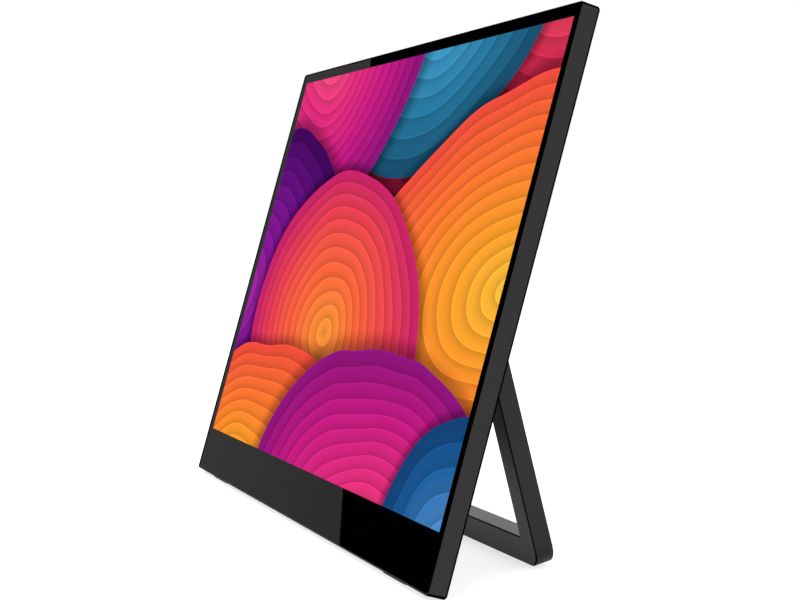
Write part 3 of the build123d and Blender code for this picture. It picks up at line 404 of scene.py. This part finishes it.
def stand_painted_shade_mask(tree):
    """Where painted shade goes: 1 on the stand's rounded edges, and 0 on its wide bends and its
    round knuckles.
    """
    normal = turned_normal(tree, stand_lean)
    off_bends = arithmetic(tree, "GREATER_THAN", arithmetic(tree, "ABSOLUTE", normal[1]),
                           FLAT_TURN)
    # A knuckle's round face has no sideways turn, but the rims at its ends have
    hinge_height = joints["stand_hinge"]["pos_m"][2]
    below_hinges = arithmetic(tree, "LESS_THAN", parts_of(tree, in_object(tree))[2],
                              hinge_height - KNUCKLE_REACH)
    sideways = arithmetic(tree, "GREATER_THAN", arithmetic(tree, "ABSOLUTE", normal[0]),
                          FLAT_TURN)
    off_knuckles = arithmetic(tree, "MAXIMUM", below_hinges, sideways)
    thin_edges = arithmetic(tree, "MULTIPLY", off_bends, off_knuckles)
    return arithmetic(tree, "MULTIPLY", rounded_edges(tree, normal, EDGE_TURN), thin_edges)


def dark_anodised_aluminium(name, settings, painted_shade_of):
    """Bead-blasted, anodised aluminium: an even, nearly black grey with a soft sheen. The rounded
    edges are drawn as thin black lines of painted shade, which stand in for the dark that such
    edges mirror; the metal itself is not darker there. The blast's grain is drawn at 0.5 mm,
    coarser than real.
    """
    material = grained(name, settings.casing, lighter(settings.casing, 4),
                       grain=0.5, depth=0.008, roughness=(0.3, 0.36),
                       values={"Specular IOR Level": 0.36})
    tree = material.node_tree
    shader = tree.nodes["Principled BSDF"]
    # Painted shade: the edges are coloured near black, made metallic with a black tint, and shown
    # without sheen
    edge = painted_shade_of(tree)
    colour, dullness = (shader.inputs[socket].links[0].from_socket
                        for socket in ("Base Color", "Roughness"))
    tree.links.new(blended(tree, edge, colour, linear(EDGE_PAINTED_SHADE)), shader.inputs["Base Color"])
    # The white surround would pale the painted shade on an edge, so it is wholly rough and has no
    # shine at a slant
    tree.links.new(arithmetic(tree, "MAXIMUM", dullness, edge), shader.inputs["Roughness"])
    tree.links.new(edge, shader.inputs["Metallic"])
    tree.links.new(blended(tree, edge, (1, 1, 1, 1), (0, 0, 0, 1)),
                   shader.inputs["Specular Tint"])
    return material


def spark_textured_abs(settings):
    """ABS moulded against a spark-eroded tool: dull, with a fine pebble. The pebble is drawn at
    0.9 mm, coarser than real, so that it shows.
    """
    return grained("spark_textured_abs", settings.housing, lighter(settings.housing, 8),
                   grain=0.9, depth=0.03, roughness=(0.5, 0.62),
                   values={"Specular IOR Level": 0.4})


def moulded_rubber(settings):
    """Moulded silicone rubber: black, dull and a little dusty. The dust's mottle is drawn at
    0.8 mm, coarser than real.
    """
    return grained("moulded_rubber", settings.rubber, lighter(settings.rubber, 14),
                   grain=0.8, depth=0.02, roughness=(0.7, 0.88),
                   values={"Specular IOR Level": 0.3})


def satin_moulded_keys():
    """ABS moulded against a fine-sanded tool: darker and smoother than the housing round it. The
    sanding is drawn at 0.35 mm, coarser than real.
    """
    return grained("satin_moulded_keys", "1a1a1b", "212122",
                   grain=0.35, depth=0.005, roughness=(0.3, 0.38))


def black_oxide_steel():
    """Steel screws with a black oxide coat: dark metal with a faint brown-blue mottle."""
    return grained("black_oxide_steel", "2a2a2c", "3a3836",
                   grain=0.4, depth=0.004, roughness=(0.28, 0.42), values={"Metallic": 1.0})


def zinc_plated_steel():
    """Pressed steel with bright zinc: pale bluish metal with soft cloudy patches."""
    return grained("zinc_plated_steel", "a6abb2", "c2c4c6",
                   grain=2.5, depth=0.004, roughness=(0.26, 0.4), values={"Metallic": 1.0})


def ground_steel():
    """Ground bar steel under a film of grease: fine marks and a tight shine. The marks are drawn
    at 0.25 mm, coarser than real.
    """
    return grained("ground_steel", "84868a", "9fa1a4",
                   grain=0.25, depth=0.003, roughness=(0.18, 0.28), values={"Metallic": 1.0})


def bare_aluminium():
    """Thin rolled aluminium sheet: pale grey, with a soft mill sheen."""
    return grained("bare_aluminium", "b4b6b9", "c8c9cb",
                   grain=1.2, depth=0.003, roughness=(0.32, 0.44), values={"Metallic": 1.0})


def tinned_steel():
    """Tin-plated steel sheet of a shield can: warm white metal with large faint crystals."""
    return grained("tinned_steel", "b9b8b4", "d0cfcb",
                   grain=4.0, depth=0.003, roughness=(0.22, 0.36), values={"Metallic": 1.0})


def moulded_epoxy():
    """Transfer-moulded epoxy of a chip: charcoal black with a matt, pitted face. The pits are
    drawn at 0.25 mm, coarser than real.
    """
    return grained("moulded_epoxy", "17181a", "202123",
                   grain=0.25, depth=0.006, roughness=(0.5, 0.66))


def moulded_nylon():
    """Black nylon of the jack and the key switches: smooth, with a waxy shine."""
    return grained("moulded_nylon", "121213", "1a1a1b",
                   grain=0.5, depth=0.003, roughness=(0.32, 0.42))


def filled_silicone_pad():
    """Heat pad of ceramic-filled silicone: soft mid grey, quite matt."""
    return grained("filled_silicone_pad", "8b9198", "9aa0a6",
                   grain=0.5, depth=0.02, roughness=(0.75, 0.9))


def glass_filled_plastic():
    """Black glass-filled plastic of the middle frame: dull, with faint fibres."""
    return grained("glass_filled_plastic", "131314", "1c1c1d",
                   grain=0.6, depth=0.01, roughness=(0.45, 0.6))


def black_foam_tape():
    """Black acrylic foam tape: dead matt, with tiny closed cells, drawn at 0.3 mm, coarser than
    real.
    """
    return grained("black_foam_tape", "0e0e0f", "18181a",
                   grain=0.3, depth=0.02, roughness=(0.82, 0.95),
                   values={"Specular IOR Level": 0.2})


def grey_urethane_foam():
    """Open-cell urethane foam: mid grey and matt, with cells of about half a millimetre."""
    return grained("grey_urethane_foam", "4c4d50", "696a6e",
                   grain=0.5, depth=0.08, roughness=(0.9, 1.0),
                   values={"Specular IOR Level": 0.1})


def display_glass():
    """Display glass behind a polariser: near black with a violet cast, and glossy."""
    return grained("display_glass", "0b0a10", "100f16",
                   grain=30.0, depth=0.001, roughness=(0.1, 0.16))


def white_polyester_sheet():
    """White voided polyester: bright, and evenly matt."""
    return grained("white_polyester_sheet", "e4e5e6", "eff0f0",
                   grain=1.5, depth=0.003, roughness=(0.55, 0.7))


def diffuser_films():
    """Stacked prism and diffuser films: pearly white with a silky sheen. The prisms' texture is
    drawn at 0.4 mm, coarser than real.
    """
    return grained("diffuser_films", "d3d6da", "e2e4e6",
                   grain=0.4, depth=0.004, roughness=(0.35, 0.5))


def cast_acrylic():
    """Clear cast acrylic of the light guide: water-clear, with faint ripple."""
    return grained("cast_acrylic", "f2f5f6", "ffffff",
                   grain=1.0, depth=0.002, roughness=(0.05, 0.12),
                   values={"Transmission Weight": 0.9, "IOR": 1.49})


def black_lead_vinyl():
    """Extruded vinyl on the speaker leads: smooth black with a low shine."""
    return grained("black_lead_vinyl", "141415", "1e1e1f",
                   grain=0.8, depth=0.004, roughness=(0.38, 0.5))


def coated_speaker_paper():
    """Black plastic and coated paper of a small box speaker: matt, with paper fibre."""
    return grained("coated_speaker_paper", "121213", "1d1c1c",
                   grain=0.7, depth=0.012, roughness=(0.6, 0.75))


def gold_plate():
    """Thin gold over nickel on contacts: warm yellow metal, bright and smooth."""
    return grained("gold_plate", "d9ae55", "e6c274",
                   grain=0.3, depth=0.001, roughness=(0.18, 0.26), values={"Metallic": 1.0})


NICKEL = ("b5b1a9", "c9c6bf")


def nickel_plate():
    """Bright nickel on a turned ring: pale, slightly warm metal."""
    return grained("nickel_plate", *NICKEL,
                   grain=0.8, depth=0.001, roughness=(0.2, 0.28), values={"Metallic": 1.0})


# In millimetres. Tracks are drawn wider apart than real, so that they show. TRACE_SHARE is their
# share of the pitch, and VIA_RADIUS the vias' share of their spacing.
TRACE_PITCH = 1.6
TRACE_SHARE = 0.5
TRACE_FIELD = 9.0
VIA_SPACING = 3.2
VIA_RADIUS = 0.12
MASK_GREEN = "0c3a26"
TRACE_GREEN = "1a5a3a"
TINNED_VIA = "b8b6a8"


def solder_masked_board():
    """Glass-epoxy board under green solder mask: runs of tracks show lighter, vias are tinned."""
    material, tree, shader = new_material("solder_masked_board", {"Roughness": 0.34})
    place = on_slab(tree)
    across, rise, _ = parts_of(tree, place)
    field = add_node(tree, "ShaderNodeTexVoronoi", {"distance": "CHEBYCHEV"},
                     {"Scale": 1 / TRACE_FIELD}, {"Vector": place})
    # Each field of the board runs its tracks one way
    turn = arithmetic(tree, "GREATER_THAN", parts_of(tree, field.outputs["Color"])[0], 0.5)
    upright = arithmetic(tree, "MULTIPLY", across, turn)
    level = arithmetic(tree, "MULTIPLY", rise, arithmetic(tree, "SUBTRACT", 1.0, turn))
    along = arithmetic(tree, "ADD", upright, level)
    step = arithmetic(tree, "FRACT", arithmetic(tree, "DIVIDE", along, TRACE_PITCH))
    track = arithmetic(tree, "LESS_THAN", step, TRACE_SHARE)
    vias = add_node(tree, "ShaderNodeTexVoronoi", values={"Scale": 1 / VIA_SPACING},
                    links={"Vector": place})
    via = arithmetic(tree, "LESS_THAN", vias.outputs["Distance"], VIA_RADIUS)
    green = blended(tree, track, linear(MASK_GREEN), linear(TRACE_GREEN))
    tree.links.new(blended(tree, via, green, linear(TINNED_VIA)), shader.inputs["Base Color"])
    raised = add_node(tree, "ShaderNodeBump", values={"Strength": 0.4, "Distance": 0.03 * MM},
                      links={"Height": arithmetic(tree, "MAXIMUM", track, via)})
    tree.links.new(raised.outputs["Normal"], shader.inputs["Normal"])
    tree.links.new(via, shader.inputs["Metallic"])
    return material


def striped_film(name, film, conductor, pitch, share, roughness):
    """A flat film with conductors up its length, seen through its cover layer."""
    material, tree, shader = new_material(name, {"Roughness": roughness})
    across, _, _ = parts_of(tree, on_slab(tree))
    step = arithmetic(tree, "FRACT", arithmetic(tree, "DIVIDE", across, pitch))
    stripe = arithmetic(tree, "LESS_THAN", step, share)
    tree.links.new(blended(tree, stripe, linear(film), linear(conductor)),
                   shader.inputs["Base Color"])
    raised = add_node(tree, "ShaderNodeBump", values={"Strength": 0.3, "Distance": 0.02 * MM},
                      links={"Height": stripe})
    tree.links.new(raised.outputs["Normal"], shader.inputs["Normal"])
    return material


def amber_polyimide_film():
    """Polyimide film with copper lines below it: clear amber with dark fine stripes, drawn at
    0.5 mm, coarser than real.
    """
    return striped_film("amber_polyimide_film", "a9661c", "7c4214",
                        pitch=0.5, share=0.45, roughness=0.3)


def white_ribbon_cable():
    """Flat ribbon of tinned wires in white polyester: pale, with grey stripes."""
    return striped_film("white_ribbon_cable", "e3e3e0", "b9bcc0",
                        pitch=1.0, share=0.6, roughness=0.42)


# In millimetres, drawn coarser than real so that the threads show
MESH_PITCH = 0.6


def woven_dust_mesh():
    """Black woven polyester mesh: fine threads over and under, with painted shade in the weave."""
    material, tree, shader = new_material("woven_dust_mesh", {"Roughness": 0.7})
    across, rise, _ = parts_of(tree, on_slab(tree))
    waves = [arithmetic(tree, "SINE", arithmetic(tree, "MULTIPLY", value, math.tau / MESH_PITCH))
             for value in (across, rise)]
    height = arithmetic(tree, "MULTIPLY", *waves)
    # Painted shade: the tone follows the weave's height, darker where the threads dip under
    shade = add_node(tree, "ShaderNodeMapRange", values={"From Min": -1.0},
                     links={"Value": height})
    tone = hex_ramp(tree, shade.outputs["Result"], (0.2, "08080a"), (0.8, "242427"))
    tree.links.new(tone, shader.inputs["Base Color"])
    bump = add_node(tree, "ShaderNodeBump", values={"Strength": 0.8, "Distance": 0.1 * MM},
                    links={"Height": height})
    tree.links.new(bump.outputs["Normal"], shader.inputs["Normal"])
    return material


# Socket sizes in millimetres: tongue width and thickness, where its contacts start behind the
# mouth and how long they are, and each row's count and pitch
USB_SOCKET = {"width": 6.69, "thickness": 0.7, "start": 1.2, "length": 3.6, "rows": (12, 12),
              "pitch": 0.5}
VIDEO_SOCKET = {"width": 8.2, "thickness": 0.7, "start": 1.2, "length": 4.0, "rows": (10, 9),
                "pitch": 0.8}
SOCKETS = {"usb_socket_1": USB_SOCKET, "usb_socket_2": USB_SOCKET, "video_socket": VIDEO_SOCKET}
# In millimetres, but for PAD_SHARE, a contact's share of the pitch. The tongue's black reaches
# MASK_PLAY past its sizes.
MASK_PLAY = 0.05
PAD_SHARE = 0.5
PAD_HEIGHT = 0.04
PAD_BEVEL = 0.015

# The jack's ring in millimetres. Its front edges lie past this share of how far it stands proud.
RING_INNER = 1.82
RING_OUTER = 2.3
RING_PROUD = 0.2
RING_LIP = 0.08
RING_SEGMENTS = 64
RING_LIP_SEGMENTS = 3
RING_SMOOTH_ANGLE = math.radians(40)
FRONT_SHARE = 0.9


def nickel_plated_socket(name):
    """Drawn steel shell with nickel plate: pale, warm metal round a black moulded tongue."""
    material, tree, shader = new_material(f"nickel_plated_{name}", {})
    _, rise, out = parts_of(tree, on_slab(tree, slab_centre(name)))
    width, thickness = (SOCKETS[name][side] + 2 * MASK_PLAY for side in ("width", "thickness"))
    tongue = arithmetic(tree, "MULTIPLY", within(tree, rise, -width / 2, width / 2),
                        within(tree, out, -thickness / 2, thickness / 2))
    nickel = hex_ramp(tree, noise_of(tree, grain=0.8), *zip(GRAIN_STOPS, NICKEL))
    tree.links.new(blended(tree, tongue, nickel, linear("101011")), shader.inputs["Base Color"])
    tree.links.new(arithmetic(tree, "SUBTRACT", 1.0, tongue), shader.inputs["Metallic"])
    shine = add_node(tree, "ShaderNodeMapRange", values={"To Min": 0.22, "To Max": 0.5},
                     links={"Value": tongue})
    tree.links.new(shine.outputs["Result"], shader.inputs["Roughness"])
    return material


# In millimetres, from the diodes' tops down
PHOSPHOR_DEPTH = 0.15


def light_strip_board():
    """White board with packaged diodes: white bodies with yellow phosphor on top."""
    material, tree, shader = new_material("light_strip_board", {"Roughness": 0.45})
    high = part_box("led_strip")[1]
    top = (to_slab @ Vector((0, high.y, high.z))).y / MM
    _, rise, _ = parts_of(tree, on_slab(tree))
    phosphor = arithmetic(tree, "GREATER_THAN", rise, top - PHOSPHOR_DEPTH)
    white = hex_ramp(tree, noise_of(tree, grain=0.5), *zip(NOISE_SPAN, ("dcdddc", "e9e9e8")))
    tree.links.new(blended(tree, phosphor, white, linear("e9c53a")), shader.inputs["Base Color"])
    return material


class MONITOR_OT_screen(bpy.types.Operator):
    """Lights the picture behind the cover glass"""

    bl_idname = "monitor.screen"
    bl_label = "Screen"

    def execute(self, context):
        dress(black_bordered_cover_glass(context.scene.monitor_picture), "cover_glass")
        return {"FINISHED"}


class MONITOR_OT_casing(bpy.types.Operator):
    """Finishes the slab's back and sides, the stand, the housing, the rubber and the keys"""

    bl_idname = "monitor.casing"
    bl_label = "Casing and Stand"

    def execute(self, context):
        finish = context.scene.monitor_finish
        dress(dark_anodised_aluminium("anodised_cover", finish, cover_painted_shade_mask), "rear_cover")
        dress(dark_anodised_aluminium("anodised_stand", finish, stand_painted_shade_mask), "stand_frame")
        dress(spark_textured_abs(finish), "electronics_housing")
        dress(moulded_rubber(finish), "desk_foot_left", "desk_foot_right", "stand_foot_strip",
              "fold_bumpers")
        dress(satin_moulded_keys(), "power_button", "back_button", "adjust_rocker")
        return {"FINISHED"}


class MONITOR_OT_hinges(bpy.types.Operator):
    """Finishes the hinges and every screw"""

    bl_idname = "monitor.hinges"
    bl_label = "Hinges and Screws"

    def execute(self, context):
        dress(black_oxide_steel(), "cover_screws", "pivot_screws", "hinge_screws")
        dress(zinc_plated_steel(), "hinge_bracket_left", "hinge_bracket_right", "board_screws")
        dress(ground_steel(), "hinge_shaft_left", "hinge_shaft_right", "hinge_washers_left",
              "hinge_washers_right", "hinge_nut_left", "hinge_nut_right", "rocker_pin")
        return {"FINISHED"}


class MONITOR_OT_display_layers(bpy.types.Operator):
    """Finishes the display's layers and what carries them"""

    bl_idname = "monitor.display_layers"
    bl_label = "Display Layers"

    def execute(self, context):
        dress(glass_filled_plastic(), "middle_frame")
        dress(black_foam_tape(), "glass_tape")
        dress(grey_urethane_foam(), "support_foam")
        dress(display_glass(), "lcd_cell")
        dress(diffuser_films(), "optical_films")
        dress(cast_acrylic(), "light_guide")
        dress(white_polyester_sheet(), "reflector_sheet")
        dress(bare_aluminium(), "panel_tray")
        dress(light_strip_board(), "led_strip")
        dress(amber_polyimide_film(), "driver_films")
        return {"FINISHED"}


class MONITOR_OT_boards(bpy.types.Operator):
    """Finishes the boards, chips, cables and speakers inside the housing"""

    bl_idname = "monitor.boards"
    bl_label = "Boards and Speakers"

    def execute(self, context):
        dress(solder_masked_board(), "main_board", "key_board", "panel_board")
        dress(moulded_epoxy(), "processor", "board_chips", "panel_board_chips")
        dress(moulded_nylon(), "audio_jack", "key_switches")
        dress(tinned_steel(), "shield_can")
        dress(filled_silicone_pad(), "heat_pad")
        dress(white_ribbon_cable(), "display_cable", "key_cable")
        dress(black_lead_vinyl(), "speaker_leads")
        dress(coated_speaker_paper(), "speaker_left", "speaker_right")
        dress(black_foam_tape(), "speaker_gasket_left", "speaker_gasket_right")
        dress(woven_dust_mesh(), "speaker_mesh_left", "speaker_mesh_right")
        return {"FINISHED"}


def picked(piece, kind, test):
    """Selects only the parts of a kind whose middle passes a test, in edit mode."""
    mesh = bmesh.from_edit_mesh(piece.data)
    for vertex in mesh.verts:
        vertex.select = False
    mesh.select_flush(False)
    for part in getattr(mesh, kind):
        middle = sum((vertex.co for vertex in part.verts), Vector()) / len(part.verts)
        part.select_set(test(middle))
    bmesh.update_edit_mesh(piece.data)


def placed_on_slab(piece, name):
    """Puts a piece modelled in slab coordinates in its place, with the place in its mesh."""
    piece.name = name
    piece.matrix_world = slab_matrix @ piece.matrix_world
    bpy.ops.object.transform_apply(location=True, rotation=True, scale=True)
    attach(piece, "monitor")


class MONITOR_OT_sockets(bpy.types.Operator):
    """Finishes the sockets and lays gold contacts on their tongues"""

    bl_idname = "monitor.sockets"
    bl_label = "Sockets"

    def execute(self, context):
        gold = gold_plate()
        for name, socket in SOCKETS.items():
            dress(nickel_plated_socket(name), name)
            for side, count in zip((-1, 1), socket["rows"]):
                word = "front" if side > 0 else "rear"
                row = self.contacts(name, socket, count, side)
                row.data.materials.append(gold)
                placed_on_slab(row, f"{name}_{word}_contacts")
        self.jack_ring()
        return {"FINISHED"}

    def contacts(self, name, socket, count, side):
        """One face's row of contact pads, each with bevelled upper edges."""
        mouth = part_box(name)[0].x
        middle = slab_centre(name)
        length, pitch = socket["length"] * MM, socket["pitch"] * MM
        height = PAD_HEIGHT * MM
        face = middle.z + side * socket["thickness"] * MM / 2
        place = (mouth + socket["start"] * MM + length / 2,
                 middle.y - (count - 1) / 2 * pitch, face + side * height / 2)
        bpy.ops.mesh.primitive_cube_add(size=1, location=place)
        pad = bpy.context.object
        pad.scale = (length, pitch * PAD_SHARE, height)
        bpy.ops.object.transform_apply(location=False, rotation=False, scale=True)
        bpy.ops.object.mode_set(mode="EDIT")
        picked(pad, "edges", lambda spot: side * spot.z > height / 4)
        bpy.ops.mesh.bevel(offset=PAD_BEVEL * MM, segments=1)
        bpy.ops.object.mode_set(mode="OBJECT")
        bpy.ops.object.modifier_add(type="ARRAY")
        repeat = pad.modifiers[-1]
        repeat.count = count
        repeat.use_relative_offset = False
        repeat.use_constant_offset = True
        repeat.constant_offset_displace = (0, pitch, 0)
        bpy.ops.object.modifier_apply(modifier=repeat.name)
        return pad

    def jack_ring(self):
        """The nickel ring round the audio jack's mouth, with a rounded lip."""
        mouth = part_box("audio_jack")[0].x
        middle = slab_centre("audio_jack")
        bpy.ops.mesh.primitive_circle_add(
            vertices=RING_SEGMENTS, radius=RING_INNER * MM, location=(mouth, middle.y, middle.z),
            rotation=(0, -math.pi / 2, 0))
        ring = bpy.context.object
        bpy.ops.object.transform_apply(location=False, rotation=True, scale=False)
        spread = RING_OUTER / RING_INNER
        bpy.ops.object.mode_set(mode="EDIT")
        bpy.ops.mesh.extrude_edges_move()
        bpy.ops.transform.resize(value=(1, spread, spread), center_override=ring.location)
        bpy.ops.mesh.select_all(action="SELECT")
        bpy.ops.mesh.extrude_region_move(
            TRANSFORM_OT_translate={"value": (-RING_PROUD * MM, 0, 0)})
        picked(ring, "edges", lambda spot: spot.x < -RING_PROUD * MM * FRONT_SHARE)
        bpy.ops.mesh.bevel(offset=RING_LIP * MM, segments=RING_LIP_SEGMENTS)
        bpy.ops.mesh.select_all(action="SELECT")
        bpy.ops.mesh.normals_make_consistent(inside=False)
        bpy.ops.object.mode_set(mode="OBJECT")
        bpy.ops.object.shade_smooth_by_angle(angle=RING_SMOOTH_ANGLE)
        ring.data.materials.append(nickel_plate())
        placed_on_slab(ring, "audio_jack_ring")


def seen_by(tree, rays):
    """A socket that is 1 for the kinds of ray named, and 0 for the others."""
    path = add_node(tree, "ShaderNodeLightPath")
    total = path.outputs[rays[0]]
    for ray in rays[1:]:
        total = arithmetic(tree, "MAXIMUM", total, path.outputs[ray])
    return total


DIRECT_RAYS = ("Is Camera Ray", "Is Glossy Ray", "Is Transmission Ray")
FLOOR_SIZE = 14.0
# What is added to the floor's own shade for the camera, and for reflections
FLOOR_LIFT = 0.72
MIRRORED_LIFT = 0.24
# The cards that the glass mirrors stand at this X, the grey ones just before the black one
CARD_DISTANCE = -1.2
CARD_GAP = 0.01
CARD_GREY = 0.145
# How far the cards reach past the glass
GLASS_MARGIN = 8 * MM
# The grey cards stop this far short of the left and top edges, which mirror a thin black line
LEFT_LINE = 3 * MM
TOP_LINE = 0.9 * MM
# The grey cards' edge crosses the glass on a slant: its place at the foot, and across per height
CARD_EDGE_FOOT = 74.0 * MM
CARD_EDGE_SLOPE = -0.621
# Each black flag that thin edges and the glass mirror: name, middle, width and height in metres
FLAGS = (("front_flag", (-1.0, -2.2), 6.0, 2.4), ("rear_flag", (0.3, 2.2), 2.2, 1.6))
# Each lamp: name, place, size and power
LAMPS = (("overhead_softbox", (0.3, -0.4, 1.6), 1.2, 14.0),
         ("side_softbox", (1.5, -1.3, 0.5), 1.0, 3.5))
LAMP_AIM = Vector((0, 0, 0.1))


class MONITOR_OT_stage(bpy.types.Operator):
    """Sets the floor, the white surround, the lamps, the cards and the camera"""

    bl_idname = "monitor.stage"
    bl_label = "Stage"

    def execute(self, context):
        settings = context.scene.monitor_stage
        self.surround(context, settings)
        self.floor()
        self.lamps()
        self.camera(context, settings)
        self.cards(context.scene.monitor_picture, settings)
        return {"FINISHED"}

    def surround(self, context, settings):
        """White for the camera and in reflections, softer as light on the object."""
        world = bpy.data.worlds.new("studio")
        context.scene.world = world
        world.use_nodes = True
        tree = world.node_tree
        tree.nodes.clear()
        strength = add_node(tree, "ShaderNodeMapRange", values={
            "To Min": settings.soft_light, "To Max": 1.0},
            links={"Value": seen_by(tree, DIRECT_RAYS)})
        light = add_node(tree, "ShaderNodeBackground", values={"Color": (1, 1, 1, 1)},
                         links={"Strength": strength.outputs["Result"]})
        output = add_node(tree, "ShaderNodeOutputWorld")
        tree.links.new(light.outputs["Background"], output.inputs["Surface"])

    def floor(self):
        """Matt white, lifted for direct rays so that it joins the surround and keeps a shadow."""
        bpy.ops.mesh.primitive_plane_add(size=FLOOR_SIZE)
        floor = bpy.context.object
        floor.name = "floor"
        material, tree, shader = new_material("matt_white_floor", {
            "Base Color": linear("e8e8e8"), "Roughness": 0.9, "Specular IOR Level": 0.1,
            "Emission Color": (1, 1, 1, 1)})
        lift = arithmetic(tree, "MAXIMUM",
                          arithmetic(tree, "MULTIPLY", seen_by(tree, DIRECT_RAYS[:1]), FLOOR_LIFT),
                          arithmetic(tree, "MULTIPLY", seen_by(tree, DIRECT_RAYS[1:]),
                                     MIRRORED_LIFT))
        tree.links.new(lift, shader.inputs["Emission Strength"])
        floor.data.materials.append(material)

    def card(self, name, corners, strength):
        """A card that shows only in reflections, from four corners, a row of two at a time."""
        bpy.ops.mesh.primitive_plane_add(size=1)
        card = bpy.context.object
        card.name = name
        for vertex, corner in zip(card.data.vertices, corners):
            vertex.co = corner
        material = bpy.data.materials.new(name)
        material.use_nodes = True
        tree = material.node_tree
        tree.nodes.clear()
        glow = add_node(tree, "ShaderNodeEmission", values={
            "Color": (strength, strength, strength, 1)})
        output = add_node(tree, "ShaderNodeOutputMaterial")
        tree.links.new(glow.outputs["Emission"], output.inputs["Surface"])
        card.data.materials.append(material)
        card.visible_camera = False
        card.visible_diffuse = False
        card.visible_transmission = False
        card.visible_shadow = False

    def cards(self, picture, settings):
        """A black card behind all that the glass mirrors, grey ones beside it, and edge flags."""
        eye = Vector(settings.camera_place)
        mirrored_eye = eye - 2 * (eye - slab_origin).dot(out_of_screen) * out_of_screen
        outer = half_slab + GLASS_MARGIN

        def mirrored(across, height, distance):
            """Where the camera sees this spot of the glass mirror the card's plane."""
            ray = slab_matrix @ Vector((across, height, 0)) - mirrored_eye
            return mirrored_eye + ray * ((distance - mirrored_eye.x) / ray.x)

        def strip(name, ends, left, rights, distance, strength):
            """A card that the camera sees on the glass between these heights, left and rights."""
            corners = []
            for height, right in zip(ends, rights):
                corners += [mirrored(left, height, distance), mirrored(right, height, distance)]
            self.card(name, corners, strength)

        low, high = -GLASS_MARGIN, slab_height + GLASS_MARGIN
        lit_top = picture.bottom + picture.height
        lit_left = picture.left_strip - picture.width / 2
        near = CARD_DISTANCE + CARD_GAP
        left = LEFT_LINE - half_slab
        strip("black_card", (low, high), -outer, (outer, outer), CARD_DISTANCE, 0.0)
        strip("grey_card_side", (picture.bottom, lit_top), left, (lit_left, lit_left), near,
              CARD_GREY)
        for name, ends in (("grey_card_low", (low, picture.bottom)),
                           ("grey_card_high", (lit_top, slab_height - TOP_LINE))):
            rights = [CARD_EDGE_FOOT + CARD_EDGE_SLOPE * height for height in ends]
            strip(name, ends, left, rights, near, CARD_GREY)
        for name, (x, y), width, height in FLAGS:
            self.card(name, [(x - width / 2, y, 0), (x + width / 2, y, 0),
                             (x - width / 2, y, height), (x + width / 2, y, height)], 0.0)

    def lamps(self):
        """Square softboxes that light the monitor and don't show in its reflections."""
        for name, place, size, power in LAMPS:
            aim = LAMP_AIM - Vector(place)
            bpy.ops.object.light_add(type="AREA", location=place,
                                     rotation=aim.to_track_quat("-Z", "Y").to_euler())
            lamp = bpy.context.object
            lamp.name = name
            lamp.data.size = size
            lamp.data.energy = power
            lamp.visible_glossy = False

    def camera(self, context, settings):
        """The photo's camera, with its colours shown as they are."""
        bpy.ops.object.camera_add(
            location=settings.camera_place,
            rotation=(math.pi / 2 + settings.pitch, 0, settings.heading))
        camera = context.object
        camera.data.lens = settings.lens
        camera.data.shift_y = settings.lens_drop
        context.scene.camera = camera
        context.scene.view_settings.view_transform = "Standard"


OPERATORS = (MONITOR_OT_screen, MONITOR_OT_casing, MONITOR_OT_hinges, MONITOR_OT_display_layers,
             MONITOR_OT_boards, MONITOR_OT_sockets, MONITOR_OT_stage)


class MONITOR_PT_panel(bpy.types.Panel):
    """Lists the monitor's groups of pieces"""

    bl_label = "Portable Monitor"
    bl_space_type = "VIEW_3D"
    bl_region_type = "UI"
    bl_category = "Monitor"

    def draw(self, context):
        for operator in OPERATORS:
            self.layout.operator(operator.bl_idname)


CLASSES = (PictureSettings, FinishSettings, StageSettings, *OPERATORS, MONITOR_PT_panel)


def register():
    for entry in CLASSES:
        bpy.utils.register_class(entry)
    bpy.types.Scene.monitor_picture = PointerProperty(type=PictureSettings)
    bpy.types.Scene.monitor_finish = PointerProperty(type=FinishSettings)
    bpy.types.Scene.monitor_stage = PointerProperty(type=StageSettings)


def unregister():
    del bpy.types.Scene.monitor_stage
    del bpy.types.Scene.monitor_finish
    del bpy.types.Scene.monitor_picture
    for entry in reversed(CLASSES):
        bpy.utils.unregister_class(entry)


def main():
    """Makes everything."""
    register()
    bpy.ops.object.select_all(action="DESELECT")
    for operator in OPERATORS:
        group, name = operator.bl_idname.split(".")
        getattr(getattr(bpy.ops, group), name)()


if __name__ == "__main__":
    main()
